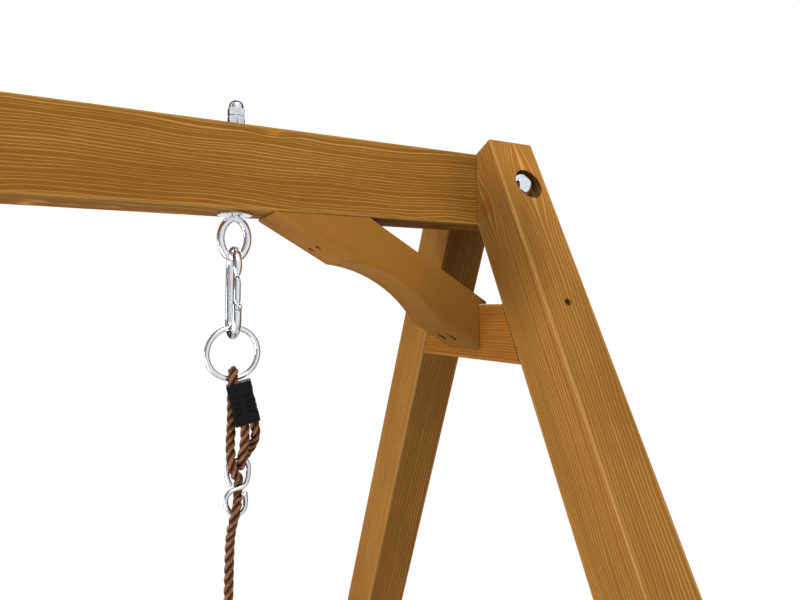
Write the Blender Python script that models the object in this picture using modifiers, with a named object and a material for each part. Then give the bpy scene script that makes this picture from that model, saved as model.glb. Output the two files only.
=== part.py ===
"""Timber A-frame swing set with one adjustable rope swing.

Frame: X along the top beam, -Y to the front, +Z up.  The origin is on the floor under the
middle of the swing.  Lengths are in metres.  "right" is +X, "left" is -X, "front" is -Y.
"""
import math

import bmesh
import bpy
import numpy as np
from mathutils import Matrix, Vector

# ---- driving dimensions -----------------------------------------------------------------
GAP = 0.0003                      # clearance between pieces that touch
MM = 0.001

INNER_SPAN = 1.060                # between the inner faces of the two A-frames
BEAM_UNDERSIDE = 1.800            # above the floor
BEAM_WIDTH = 0.070
BEAM_HEIGHT = 0.095
LEG_WIDTH = 0.070                 # along X
LEG_DEPTH = 0.072                 # across the leg, in the plane of the A-frame
LEG_SPLAY = math.radians(24.1)    # from the vertical
CROSSBAR_DROP = 0.106             # beam underside to crossbar top
CROSSBAR_HEIGHT = 0.072
CROSSBAR_END_GAP = 0.0012        # between each end of the crossbar and its leg
EASED_EDGE = 0.0015

BRACE_LENGTH = 0.275              # along the beam
BRACE_TOP_CONTACT = 0.1575        # where the upper edge meets the beam
BRACE_SLOPE = 0.6035              # drop per unit of run of both long edges
BRACE_FOOT = 0.1645               # beam underside to the foot of the brace
BRACE_LIP = 0.012                 # lip that lies on the crossbar
SCOOP_START = 0.062               # the concave arc in the underside, from the crossbar
SCOOP_END = 0.187
SCOOP_DEPTH = 0.0165

BOLT_OFFSET = 0.0405             # from the inner face of the A-frame
BOLT_RADIUS = 0.006
HEX_ACROSS_FLATS = 0.019
BOLT_HEAD_HEIGHT = 0.0075
BOLT_NUT_HEIGHT = 0.010
COUNTERBORE_RADIUS = 0.0195
COUNTERBORE_FLOOR = 0.0766        # from the beam's middle plane
OVERRUN = 0.01                   # cutters run this far past the faces they open
LONG_OVERRUN = 0.05              # past slanted or thick pieces
BOLT_REACH = 0.14                # cross bolt cutters reach past the legs' outer faces
PILOT_OVERLAP = 0.004            # of a screw's pilot hole and its sunk head hole
PILOT_SPARE = 0.001              # pilot hole deeper than its screw
WELD_DISTANCE = 0.00001
BRACE_EASED_EDGE = 0.0012
CLAMP_EASED_EDGE = 0.001
SEAT_EASED_EDGE = 0.003
SEAT_BORE_CLEARANCE = 0.0006
BOLT_CLEARANCE = 0.0004
BOLT_END = 0.003                  # thread beyond the nut
BOLT_WASHER_RADIUS = 0.015
WASHER_THICKNESS = 0.0025

SCREW_HEAD_RADIUS = 0.0042
SCREW_HEAD_HEIGHT = 0.004
SCREW_SHANK_RADIUS = 0.0025
SUNK_HOLE_RADIUS = 0.0047
LEG_SCREW_DROP = 0.1045           # below the beam underside, on the leg's outer face
LEG_SCREW_SINK = 0.025
LEG_SCREW_LENGTH = 0.085
BRACE_SCREW_SPREAD = 0.0125       # to each side of the middle plane
BRACE_SCREW_LENGTH = 0.068
UPPER_SCREW_RUN = 0.2145          # from the A-frame, into the beam
UPPER_SCREW_SINK = 0.027          # head face below the beam underside
LOWER_SCREW_DROP = 0.148          # below the beam underside, into the crossbar
LOWER_SCREW_SINK = 0.022          # head face in front of the crossbar

HANGER_INSET = 0.311              # eye bolt axis from the inner face of the A-frame
EYE_WIRE_RADIUS = 0.0043
SHANK_RADIUS = 0.0048
PENNY_WASHER_RADIUS = 0.0193
TOP_NUT_HEIGHT = 0.0142
TOP_NUT_FLATS = 0.0175
CAP_NUT_HEX_HEIGHT = 0.0092
CAP_NUT_HEIGHT = 0.0195
CAP_NUT_BORE_DEPTH = 0.0095
CAP_NUT_DOME_RADIUS = 0.0083
EYE_AXIS_DROP = 0.052             # eye's bottom wire below the beam underside
HOOK_WIRE_RADIUS = 0.005
HOOK_HALF_WIDTH = 0.0175
HOOK_TOP_DROP = 0.0424            # middle of the wire
HOOK_BOTTOM_DROP = 0.1372
GATE_PIN_DROP = 0.106
GATE_RADIUS = 0.0038
GATE_TOP_DROP = 0.0742
HOOK_NOSE_DROP = 0.0716
HOOK_NOSE_RADIUS = 0.0031         # at the tip of the tapered end
HOOK_TOP_RISE = 0.0205            # height of the upper and the lower bend
HOOK_FOOT_RISE = 0.019
FORK_TOP_DROP = 0.1018
GATE_TIP_RADIUS = 0.0030
GATE_TAPER = 0.006                # length over which the gate narrows to its tip
GATE_PEG_RADIUS = 0.0012          # peg between the gate's tip and the hook's nose
GATE_PEG_HEIGHT = 0.0018
GATE_NECK_RADIUS = 0.0027         # the part that turns inside the fork
GATE_NECK_TOP = 0.0046            # above the pin
GATE_FOOT = 0.0044                # below the pin
PIN_RADIUS = 0.0012
PIN_BORE_RADIUS = 0.0015
RING_WIRE_RADIUS = 0.003
RING_RADIUS = 0.028               # to the middle of the wire
RING_TOP_DROP = 0.1289            # middle of the ring's top wire
ROPE_RADIUS = 0.005
ADJUSTER_WIRE_RADIUS = 0.0026
CLAMP_WIDTH = 0.0266
CLAMP_THICKNESS = 0.016
CLAMP_HEIGHT = 0.0455
CLAMP_TILT = math.radians(14.6)   # its lower end leans outwards
CLAMP_TURN = math.radians(13.0)   # about its own length
CLAMP_TOP = (0.00405, -0.0113, -0.1880)    # middle of its top face, from the beam underside
CLAMP_STRANDS = {"main": -0.0046, "end": 0.0061}    # across the clamp
END_STRAND_START = 0.0095         # below the clamp's top face
STRAND_CLEARANCE = 0.0004         # between a strand and its groove
STRAND_SPACING = 0.0116           # between the two strands inside a seat clamp

SEAT_HEIGHT = 0.430               # top face above the floor
SEAT_LENGTH = 0.490
SEAT_DEPTH = 0.170
SEAT_THICKNESS = 0.022
SEAT_HOLE_Y = 0.060
SEAT_HOLE_RADIUS = 0.007
SEAT_CORNER_RADIUS = 0.030
SEAT_CLAMP_RISE = 0.149           # seat top to the clamp's lower face
SEAT_CLAMP_HEIGHT = 0.032

# Eye bolt wire: shank, then the drop-shaped eye, back to a small gap beside the shank, as X
# and Z in millimetres from the point where the hanger's axis meets the beam underside.
EYE_ROUTE = (
    (0, 118.0), (0, 40.0), (0, 0), (0.4, -4.2), (3.0, -7.2), (7.8, -9.0), (12.4, -15.4),
    (15.0, -26.0), (14.7, -34.0), (12.6, -40.8), (8.0, -48.2), (0, -52.0), (-8.0, -48.2),
    (-12.6, -40.8), (-14.7, -34.0), (-15.0, -26.0), (-12.4, -15.4), (-7.8, -8.6),
)

# Adjuster wire, an S whose ends stop beside its middle, as X, Y, Z in millimetres from the
# point where the hanger's axis meets the beam underside.
ADJUSTER_ROUTE = (
    (0.4, 0, -299.6), (-2.0, 0, -295.2), (-3.6, 0, -290.2), (-4.1, 0, -285.0),
    (-3.3, 0, -279.2), (-0.9, 0, -274.4), (3.0, 0, -271.4), (7.6, 0, -270.5),
    (12.6, 0, -271.6), (16.8, 0, -275.2), (19.1, 0, -280.8), (19.3, 0, -288.0),
    (18.4, 0, -294.6), (16.4, 0, -299.6), (12.6, 0, -302.4), (7.4, 0, -303.5),
    (2.4, 0, -304.6), (-1.6, 0, -307.0), (-4.2, 0, -311.0), (-4.9, 0, -315.8),
    (-3.9, 0, -320.6), (-1.2, 0, -325.4), (3.0, 0, -329.2), (8.0, 0, -330.7),
    (12.6, 0, -329.2), (15.6, 0, -325.0), (16.5, 0, -319.4), (16.3, 0, -313.4),
    (15.8, 0, -307.6),
)

# Rope route in the same frame: end loop, clamp, over the ring, through the adjuster and down.
ROPE_ROUTE = (
    (13.0, -12.7, -199.1), (17.1, -12.7, -214.6), (22.1, -12.7, -233.9),
    (24.2, -9.4, -244.2), (24.4, -1.5, -255.0), (22.0, 6.4, -264.4), (17.6, 9.6, -271.6),
    (12.5, 7.4, -278.4), (9.8, 0.4, -279.9), (9.6, -6.8, -276.2), (9.8, -11.0, -266.4),
    (11.8, -11.6, -252.0), (12.0, -10.3, -236.6), (5.5, -10.3, -211.4),
    (-0.6, -10.3, -188.0), (-0.4, -9.0, -183.0), (0.4, -5.6, -178.0), (1.0, 0, -176.0),
    (1.4, 6.2, -178.8), (2.0, 9.6, -187.0), (2.0, 10.0, -209.0), (1.8, 8.4, -236.0),
    (-0.4, 2.2, -254.0), (-1.6, -5.6, -264.6), (-1.4, -9.4, -274.0), (1.0, -8.6, -282.6),
    (4.6, -5.0, -288.6), (9.0, 2.0, -292.6), (10.8, 9.6, -297.2), (11.2, 12.6, -304.6),
    (10.4, 9.4, -311.6), (8.4, 1.8, -317.4), (5.4, -6.7, -321.9), (2.8, -9.2, -329.6),
    (0.9, -6.6, -340.0), (0.2, -2.0, -353.0), (0, 0, -370.0),
)
# Lower end of the rope, measured from the middle of the seat's top face under the hanger.
SEAT_ROUTE = (
    (0, 0, 240.0), (0, -2.5, 220.0), (0, -5.4, 199.0), (0, -5.8, 180.0), (0, -5.8, 150.0),
    (0, -9.4, 136.0), (0, -20.0, 108.0), (0, -50.0, 25.0), (0, -57.5, 10.0), (0, -60.0, -2.0),
    (0, -60.0, -18.0), (0, -57.4, -26.2), (0, -50.0, -29.3), (0, 0, -29.3), (0, 50.0, -29.3),
    (0, 57.4, -26.2), (0, 60.0, -18.0), (0, 60.0, -2.0), (0, 57.5, 10.0), (0, 50.0, 25.0),
    (0, 20.0, 108.0), (0, 9.4, 136.0), (0, 5.8, 150.0), (0, 5.8, 188.0),
)

# ---- derived places ---------------------------------------------------------------------
HALF_SPAN = INNER_SPAN / 2
HANGER_X = HALF_SPAN - HANGER_INSET
BEAM_TOP = BEAM_UNDERSIDE + BEAM_HEIGHT
HALF_BEAM = BEAM_WIDTH / 2
CROSSBAR_TOP = BEAM_UNDERSIDE - CROSSBAR_DROP
RING_BOTTOM_DROP = RING_TOP_DROP + 2 * RING_RADIUS
BOLT_Z = BEAM_UNDERSIDE + BEAM_HEIGHT / 2
SIDES = {"right": 1, "left": -1}
ENDS = {"front": -1, "back": 1}

FINISHES = {                      # base colour, roughness, metallic
    "stained_softwood": ((0.38, 0.17, 0.035, 1.0), 0.55, 0.0),
    "bright_zinc": ((0.78, 0.79, 0.80, 1.0), 0.25, 1.0),
    "brown_rope": ((0.17, 0.06, 0.02, 1.0), 0.6, 0.0),
    "black_plastic": ((0.012, 0.012, 0.014, 1.0), 0.45, 0.0),
}


# ---- scene helpers ----------------------------------------------------------------------
def clear_scene():
    for leftover in list(bpy.data.objects):
        bpy.data.objects.remove(leftover, do_unlink=True)


def new_collection(name):
    collection = bpy.data.collections.new(name)
    bpy.context.scene.collection.children.link(collection)
    return collection


def add_finish(obj, kind):
    colour, roughness, metallic = FINISHES[kind]
    finish = bpy.data.materials.new(obj.name + "_" + kind)
    finish.use_nodes = True
    shader = finish.node_tree.nodes["Principled BSDF"]
    shader.inputs["Base Color"].default_value = colour
    shader.inputs["Roughness"].default_value = roughness
    shader.inputs["Metallic"].default_value = metallic
    finish.diffuse_color = colour
    obj.data.materials.append(finish)


def link_part(name, data, kind, matrix=None):
    obj = bpy.data.objects.new(name, data)
    parts.objects.link(obj)
    if matrix is not None:
        obj.matrix_world = matrix
    add_finish(obj, kind)
    return obj


def link_cutter(name, mesh, matrix):
    cutter = bpy.data.objects.new(name, mesh)
    cutters.objects.link(cutter)
    cutter.matrix_world = matrix
    cutter.hide_render = True
    cutter.display_type = "WIRE"
    return cutter


def add_boolean(obj, other, operation="DIFFERENCE"):
    boolean = obj.modifiers.new(operation.lower(), "BOOLEAN")
    boolean.operation = operation
    boolean.solver = "EXACT"
    boolean.object = other


def add_eased_edges(obj, width=EASED_EDGE):
    bevel = obj.modifiers.new("eased_edges", "BEVEL")
    bevel.width = width
    bevel.segments = 2
    bevel.limit_method = "ANGLE"
    bevel.angle_limit = math.radians(35)


def shade_round(mesh, angle=35):
    mesh.shade_smooth()
    mesh.set_sharp_from_angle(angle=math.radians(angle))


def along(start, end):
    """Matrix whose origin is at start and whose local Z points to end."""
    direction = Vector(end) - Vector(start)
    rotation = direction.to_track_quat("Z", "Y").to_matrix().to_4x4()
    return Matrix.Translation(Vector(start)) @ rotation


# ---- shapes -----------------------------------------------------------------------------
def cylinder_mesh(name, radius, length, sides=24):
    """Cylinder from local Z = 0 up to length."""
    bm = bmesh.new()
    place = Matrix.Translation((0, 0, length / 2))
    bmesh.ops.create_cone(bm, cap_ends=True, segments=sides, radius1=radius, radius2=radius,
                          depth=length, matrix=place)
    mesh = bpy.data.meshes.new(name)
    bm.to_mesh(mesh)
    bm.free()
    return mesh


def drill(name, start, end, radius, sides=24):
    length = (Vector(end) - Vector(start)).length
    return link_cutter(name, cylinder_mesh(name, radius, length, sides), along(start, end))


def box_mesh(name, low, high):
    bm = bmesh.new()
    bmesh.ops.create_cube(bm, size=1)
    size = Vector(high) - Vector(low)
    bmesh.ops.scale(bm, vec=size, verts=bm.verts)
    bmesh.ops.translate(bm, vec=(Vector(high) + Vector(low)) / 2, verts=bm.verts)
    mesh = bpy.data.meshes.new(name)
    bm.to_mesh(mesh)
    bm.free()
    return mesh


def hex_mesh(name, flats, height):
    """Hexagonal prism from local Z = 0 up, with corners on local Y."""
    mesh = cylinder_mesh(name, flats / math.sqrt(3), height, sides=6)
    mesh.transform(Matrix.Rotation(math.radians(30), 4, "Z"))
    corner = max(vertex.co.y for vertex in mesh.vertices)
    if corner < flats / math.sqrt(3) * 0.99:
        mesh.transform(Matrix.Rotation(math.radians(30), 4, "Z"))
    return mesh


def turned(name, kind, profile, matrix, steps=20, closed=False):
    """Profile of radius and height, outer side from top to bottom, turned about local Z."""
    mesh = bpy.data.meshes.new(name)
    points = [(radius, 0, height) for radius, height in profile]
    edges = [(i, i + 1) for i in range(len(points) - 1)]
    if closed:
        edges.append((len(points) - 1, 0))
    mesh.from_pydata(points, edges, [])
    obj = link_part(name, mesh, kind, matrix)
    screw = obj.modifiers.new("turn", "SCREW")
    screw.axis = "Z"
    screw.angle = math.tau
    screw.steps = steps
    screw.render_steps = steps
    screw.use_merge_vertices = True
    screw.merge_threshold = WELD_DISTANCE
    screw.use_smooth_shade = True
    return obj


def as_mesh_part(source, name, kind):
    """Replace a curve object by a part with its welded mesh."""
    depsgraph = bpy.context.evaluated_depsgraph_get()
    mesh = bpy.data.meshes.new_from_object(source.evaluated_get(depsgraph))
    matrix = source.matrix_world.copy()
    bpy.data.objects.remove(source, do_unlink=True)
    bm = bmesh.new()
    bm.from_mesh(mesh)
    bmesh.ops.remove_doubles(bm, verts=bm.verts, dist=WELD_DISTANCE)
    bmesh.ops.dissolve_limit(bm, angle_limit=math.radians(0.5), verts=bm.verts, edges=bm.edges)
    bm.to_mesh(mesh)
    bm.free()
    mesh.materials.clear()
    return link_part(name, mesh, kind, matrix)


def prism(name, kind, outline, thickness, matrix):
    """Flat outline in the local XY plane, extruded to both sides of it."""
    curve = bpy.data.curves.new(name + "_outline", "CURVE")
    curve.dimensions = "2D"
    curve.fill_mode = "BOTH"
    curve.extrude = thickness / 2
    spline = curve.splines.new("POLY")
    spline.points.add(len(outline) - 1)
    for point, (first, second) in zip(spline.points, outline):
        point.co = (first, second, 0, 1)
    spline.use_cyclic_u = True
    source = bpy.data.objects.new(name + "_outline", curve)
    parts.objects.link(source)
    source.matrix_world = matrix
    bpy.context.view_layer.update()
    return as_mesh_part(source, name, kind)


def turn_between(first, second):
    """Angle in degrees between two directions."""
    cosine = np.dot(first, second) / (np.linalg.norm(first) * np.linalg.norm(second))
    return math.degrees(math.acos(max(-1.0, min(1.0, cosine))))


def smooth_route(route, longest, widest_turn):
    """Points on a Catmull-Rom curve through the route, closer together where it bends."""
    points = [np.array(point, dtype=float) for point in route]
    padded = [2 * points[0] - points[1]] + points + [2 * points[-1] - points[-2]]
    smooth = []
    for before, start, end, after in zip(padded, padded[1:], padded[2:], padded[3:]):
        lengths = [max(np.linalg.norm(b - a), 1e-9) ** 0.5
                   for a, b in ((before, start), (start, end), (end, after))]
        t0, t1, t2, t3 = np.cumsum([0.0] + lengths)
        turn = turn_between(end - before, after - start)
        count = math.ceil(max(np.linalg.norm(end - start) / longest, turn / widest_turn, 1))
        for t in np.linspace(t1, t2, count, endpoint=False):
            a1 = (t1 - t) / (t1 - t0) * before + (t - t0) / (t1 - t0) * start
            a2 = (t2 - t) / (t2 - t1) * start + (t - t1) / (t2 - t1) * end
            a3 = (t3 - t) / (t3 - t2) * end + (t - t2) / (t3 - t2) * after
            b1 = (t2 - t) / (t2 - t0) * a1 + (t - t0) / (t2 - t0) * a2
            b2 = (t3 - t) / (t3 - t1) * a2 + (t - t1) / (t3 - t1) * a3
            smooth.append((t2 - t) / (t2 - t1) * b1 + (t - t1) / (t2 - t1) * b2)
    smooth.append(points[-1])
    return [Vector(point) for point in smooth]


def wire(name, kind, points, radius, resolution=3, cyclic=False):
    """Round bar along points given in world coordinates."""
    curve = bpy.data.curves.new(name, "CURVE")
    curve.dimensions = "3D"
    curve.bevel_depth = radius
    curve.bevel_resolution = resolution
    curve.use_fill_caps = not cyclic
    spline = curve.splines.new("POLY")
    spline.points.add(len(points) - 1)
    for point, place in zip(spline.points, points):
        point.co = (place[0], place[1], place[2], 1)
        point.radius = 1
    spline.use_cyclic_u = cyclic
    spline.use_smooth = True
    return link_part(name, curve, kind)


def arc(centre, radius, start_degrees, end_degrees, count):
    """Points on a circle, as pairs, both ends included."""
    angles = np.radians(np.linspace(start_degrees, end_degrees, count))
    return [(centre[0] + radius * math.cos(a), centre[1] + radius * math.sin(a)) for a in angles]


def ride_on(pivot, *pieces):
    """Parent pieces modelled in world coordinates to an empty on their joint's axis."""
    for piece in pieces:
        piece.parent = pivot
        piece.matrix_parent_inverse = Matrix.Translation(-pivot.location)


def pivot_at(name, place):
    pivot = bpy.data.objects.new(name, None)
    pivot.empty_display_size = 0.02
    pivot.location = place
    parts.objects.link(pivot)
    return pivot


# ---- timber frame -----------------------------------------------------------------------
def leg_outline(end):
    """Leg in the YZ plane: square-cut top, upright cut against the beam, foot on the floor."""
    slope = math.tan(LEG_SPLAY)
    inner_top = (HALF_BEAM + GAP, BEAM_TOP)
    inside_height = BEAM_HEIGHT * math.sin(LEG_SPLAY)
    reach = LEG_DEPTH - inside_height
    outer_top = (inner_top[0] + reach * math.cos(LEG_SPLAY),
                 inner_top[1] + reach * math.sin(LEG_SPLAY))
    inner_foot = inner_top[0] + BEAM_UNDERSIDE * slope
    outer_foot = inner_foot + LEG_DEPTH / math.cos(LEG_SPLAY)
    outline = [inner_top, (inner_top[0], BEAM_UNDERSIDE), (inner_foot, 0), (outer_foot, 0),
               outer_top]
    return [(end * y, z) for y, z in outline]


def outer_face_y(drop):
    """Distance of a leg's outer face from the middle plane, at a drop below the underside."""
    return HALF_BEAM + GAP + LEG_DEPTH / math.cos(LEG_SPLAY) + drop * math.tan(LEG_SPLAY)


def upright_matrix(x):
    """Local XY becomes world YZ at the given X."""
    return Matrix(((0, 0, 1, x), (1, 0, 0, 0), (0, 1, 0, 0), (0, 0, 0, 1)))


def lengthwise_matrix():
    """Local XY becomes world XZ."""
    return Matrix(((1, 0, 0, 0), (0, 0, -1, 0), (0, 1, 0, 0), (0, 0, 0, 1)))


def make_beam():
    half_length = HALF_SPAN + LEG_WIDTH
    mesh = box_mesh("top_beam", (-half_length, -HALF_BEAM, BEAM_UNDERSIDE),
                    (half_length, HALF_BEAM, BEAM_TOP))
    beam = link_part("top_beam", mesh, "stained_softwood")
    add_eased_edges(beam)
    return beam


def make_leg(side, end):
    middle = SIDES[side] * (HALF_SPAN + LEG_WIDTH / 2)
    leg = prism(f"leg_{end}_{side}", "stained_softwood", leg_outline(ENDS[end]), LEG_WIDTH,
                upright_matrix(middle))
    add_eased_edges(leg)
    return leg


def make_crossbar(side):
    slope = math.tan(LEG_SPLAY)
    top_half = HALF_BEAM + CROSSBAR_DROP * slope - CROSSBAR_END_GAP
    foot_half = top_half + CROSSBAR_HEIGHT * slope
    low = CROSSBAR_TOP - CROSSBAR_HEIGHT
    outline = [(-top_half, CROSSBAR_TOP), (-foot_half, low), (foot_half, low),
               (top_half, CROSSBAR_TOP)]
    middle = SIDES[side] * (HALF_SPAN + LEG_WIDTH / 2)
    crossbar = prism(f"crossbar_{side}", "stained_softwood", outline, LEG_WIDTH,
                     upright_matrix(middle))
    add_eased_edges(crossbar)
    return crossbar


def brace_outline(side):
    """Brace in the XZ plane, written as run from the A-frame and drop below the beam."""
    chord_run = SCOOP_END - SCOOP_START
    chord_drop = chord_run * BRACE_SLOPE
    chord = math.hypot(chord_run, chord_drop)
    radius = chord * chord / (8 * SCOOP_DEPTH) + SCOOP_DEPTH / 2
    half_angle = math.degrees(math.asin(chord / (2 * radius)))
    start_drop = (BRACE_LENGTH - SCOOP_START) * BRACE_SLOPE
    middle = (SCOOP_START + chord_run / 2, start_drop - chord_drop / 2)
    # The arc's centre lies outside the brace, square to the chord.
    reach = (radius - SCOOP_DEPTH) / chord
    centre = (middle[0] + chord_drop * reach, middle[1] + chord_run * reach)
    facing = math.degrees(math.atan2(middle[1] - centre[1], middle[0] - centre[0]))
    scoop = arc(centre, radius, facing - half_angle, facing + half_angle, 13)
    lip_drop = CROSSBAR_DROP - GAP
    foot_run = BRACE_LENGTH - BRACE_FOOT / BRACE_SLOPE
    outline = [(BRACE_LENGTH, GAP), (BRACE_TOP_CONTACT, GAP),
               (-BRACE_LIP, (BRACE_TOP_CONTACT + BRACE_LIP) * BRACE_SLOPE),
               (-BRACE_LIP, lip_drop), (GAP, lip_drop), (GAP, BRACE_FOOT),
               (foot_run, BRACE_FOOT)]
    outline += scoop + [(BRACE_LENGTH, 0.0028)]
    return [(SIDES[side] * (HALF_SPAN - run), BEAM_UNDERSIDE - drop) for run, drop in outline]


def make_brace(side):
    brace = prism(f"knee_brace_{side}", "stained_softwood", brace_outline(side), BEAM_WIDTH,
                  lengthwise_matrix())
    add_eased_edges(brace, BRACE_EASED_EDGE)
    return brace


# ---- fasteners --------------------------------------------------------------------------
def make_wood_screw(name, head_face, inward, length):
    """Countersunk screw whose drive face is at head_face and whose point lies inward."""
    end = Vector(head_face) + Vector(inward) * length
    rise = length - SCREW_HEAD_HEIGHT
    profile = [(0, length), (SCREW_HEAD_RADIUS, length), (SCREW_SHANK_RADIUS, rise),
               (SCREW_SHANK_RADIUS, 0.010), (0.0004, 0), (0, 0)]
    return turned(name, "bright_zinc", profile, along(end, head_face), steps=12)


def make_leg_screw(side, end, leg, crossbar):
    x = SIDES[side] * (HALF_SPAN + LEG_WIDTH / 2)
    sign = ENDS[end]
    surface = Vector((x, sign * outer_face_y(LEG_SCREW_DROP), BEAM_UNDERSIDE - LEG_SCREW_DROP))
    inward = Vector((0, -sign * math.cos(LEG_SPLAY), -math.sin(LEG_SPLAY)))
    head_face = surface + inward * (LEG_SCREW_SINK - SCREW_HEAD_HEIGHT)
    label = f"{end}_{side}"
    sunk = drill(f"cut_leg_screw_head_{label}", surface - inward * OVERRUN,
                 surface + inward * (LEG_SCREW_SINK + GAP), SUNK_HOLE_RADIUS, 16)
    pilot = drill(f"cut_leg_screw_shank_{label}", surface + inward * (LEG_SCREW_SINK - PILOT_OVERLAP),
                  head_face + inward * (LEG_SCREW_LENGTH + PILOT_SPARE),
                  SCREW_SHANK_RADIUS + GAP, 12)
    for timber, cutter in ((leg, sunk), (leg, pilot), (crossbar, pilot)):
        add_boolean(timber, cutter)
    make_wood_screw(f"crossbar_screw_{label}", head_face, inward, LEG_SCREW_LENGTH)


def make_brace_screws(side, brace, beam, crossbar):
    sign = SIDES[side]
    upper_x = sign * (HALF_SPAN - UPPER_SCREW_RUN)
    lower_z = BEAM_UNDERSIDE - LOWER_SCREW_DROP
    number = 0
    for end in (-1, 1):
        y = end * BRACE_SCREW_SPREAD
        upper = Vector((upper_x, y, BEAM_UNDERSIDE - UPPER_SCREW_SINK))
        lower = Vector((sign * (HALF_SPAN - LOWER_SCREW_SINK), y, lower_z))
        for head_face, inward, timber in ((upper, Vector((0, 0, 1)), beam),
                                          (lower, Vector((sign, 0, 0)), crossbar)):
            number += 1
            label = f"{side}_{number}"
            seat = head_face + inward * SCREW_HEAD_HEIGHT
            sunk = drill(f"cut_brace_screw_head_{label}", head_face - inward * LONG_OVERRUN,
                         seat + inward * GAP, SUNK_HOLE_RADIUS, 16)
            pilot = drill(f"cut_brace_screw_shank_{label}", seat - inward * PILOT_OVERLAP / 2,
                          head_face + inward * (BRACE_SCREW_LENGTH + PILOT_SPARE),
                          SCREW_SHANK_RADIUS + GAP, 12)
            add_boolean(brace, sunk)
            add_boolean(brace, pilot)
            add_boolean(timber, pilot)
            make_wood_screw(f"brace_screw_{label}", head_face, inward, BRACE_SCREW_LENGTH)


def make_washer(name, radius, bore, matrix, steps=24):
    profile = [(radius, WASHER_THICKNESS), (radius, 0), (bore, 0), (bore, WASHER_THICKNESS)]
    return turned(name, "bright_zinc", profile, matrix, steps, closed=True)


def make_frame_bolt(side, beam, legs):
    """Hex bolt along Y through the front leg, the beam and the back leg."""
    x = SIDES[side] * (HALF_SPAN + BOLT_OFFSET)
    washer_seat = COUNTERBORE_FLOOR + GAP
    head_seat = washer_seat + WASHER_THICKNESS + GAP
    tail = head_seat + BOLT_NUT_HEIGHT + BOLT_END
    hole = drill(f"cut_bolt_{side}", (x, -BOLT_REACH, BOLT_Z), (x, BOLT_REACH, BOLT_Z),
                 BOLT_RADIUS + BOLT_CLEARANCE, 20)
    add_boolean(beam, hole)
    for end, leg in legs.items():
        sign = ENDS[end]
        bore = drill(f"cut_counterbore_{end}_{side}", (x, sign * COUNTERBORE_FLOOR, BOLT_Z),
                     (x, sign * BOLT_REACH, BOLT_Z), COUNTERBORE_RADIUS, 32)
        add_boolean(leg, hole)
        add_boolean(leg, bore)
        make_washer(f"bolt_washer_{end}_{side}", BOLT_WASHER_RADIUS, BOLT_RADIUS + BOLT_CLEARANCE,
                    along((x, sign * washer_seat, BOLT_Z), (x, sign * BOLT_REACH, BOLT_Z)))
    shank_length = head_seat + tail
    bolt = link_part(f"frame_bolt_{side}", cylinder_mesh("frame_bolt", BOLT_RADIUS,
                                                         shank_length, 20),
                     "bright_zinc", along((x, -head_seat, BOLT_Z), (x, tail, BOLT_Z)))
    head = link_cutter(f"join_bolt_head_{side}",
                       hex_mesh("bolt_head", HEX_ACROSS_FLATS, BOLT_HEAD_HEIGHT + GAP),
                       upward_hex(x, -head_seat + GAP, -1))
    add_boolean(bolt, head, "UNION")
    nut = link_part(f"frame_nut_{side}",
                    hex_mesh("frame_nut", HEX_ACROSS_FLATS, BOLT_NUT_HEIGHT), "bright_zinc",
                    upward_hex(x, head_seat, 1))
    add_boolean(nut, hole)


def upward_hex(x, y, sign):
    """Local Z along world Y in the given sense, local Y along world Z."""
    return Matrix(((-sign, 0, 0, x), (0, 0, sign, y), (0, 1, 0, BOLT_Z), (0, 0, 0, 1)))


# ---- hangers ----------------------------------------------------------------------------
def hanger_frame(side):
    return Vector((SIDES[side] * HANGER_X, 0, BEAM_UNDERSIDE))


def local_route(side, route):
    origin = hanger_frame(side)
    return [origin + Vector(point) * MM for point in route]


def make_eye_bolt(side, beam):
    origin = hanger_frame(side)
    hole = drill(f"cut_eye_bolt_{side}", origin - Vector((0, 0, OVERRUN)),
                 origin + Vector((0, 0, BEAM_HEIGHT + OVERRUN)), SHANK_RADIUS + GAP, 20)
    add_boolean(beam, hole)
    route = [(x, 0, z) for x, z in EYE_ROUTE]
    points = smooth_route(local_route(side, route), 0.06, 16)
    eye_bolt = wire(f"eye_bolt_{side}", "bright_zinc", points, EYE_WIRE_RADIUS)
    bore = SHANK_RADIUS + GAP
    make_washer(f"eye_washer_{side}", PENNY_WASHER_RADIUS, bore,
                Matrix.Translation(origin - Vector((0, 0, WASHER_THICKNESS + GAP))), 32)
    top = origin + Vector((0, 0, BEAM_HEIGHT + GAP))
    make_washer(f"nut_washer_{side}", BOLT_WASHER_RADIUS, bore, Matrix.Translation(top), 24)
    nut_seat = top + Vector((0, 0, WASHER_THICKNESS + GAP))
    nut = link_part(f"lock_nut_{side}", hex_mesh("lock_nut", TOP_NUT_FLATS, TOP_NUT_HEIGHT),
                    "bright_zinc", Matrix.Translation(nut_seat))
    add_boolean(nut, drill(f"cut_lock_nut_{side}", nut_seat - Vector((0, 0, OVERRUN)),
                           nut_seat + Vector((0, 0, LONG_OVERRUN)), bore, 20))
    make_cap_nut(side, nut_seat + Vector((0, 0, TOP_NUT_HEIGHT + GAP)))
    return eye_bolt


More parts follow.
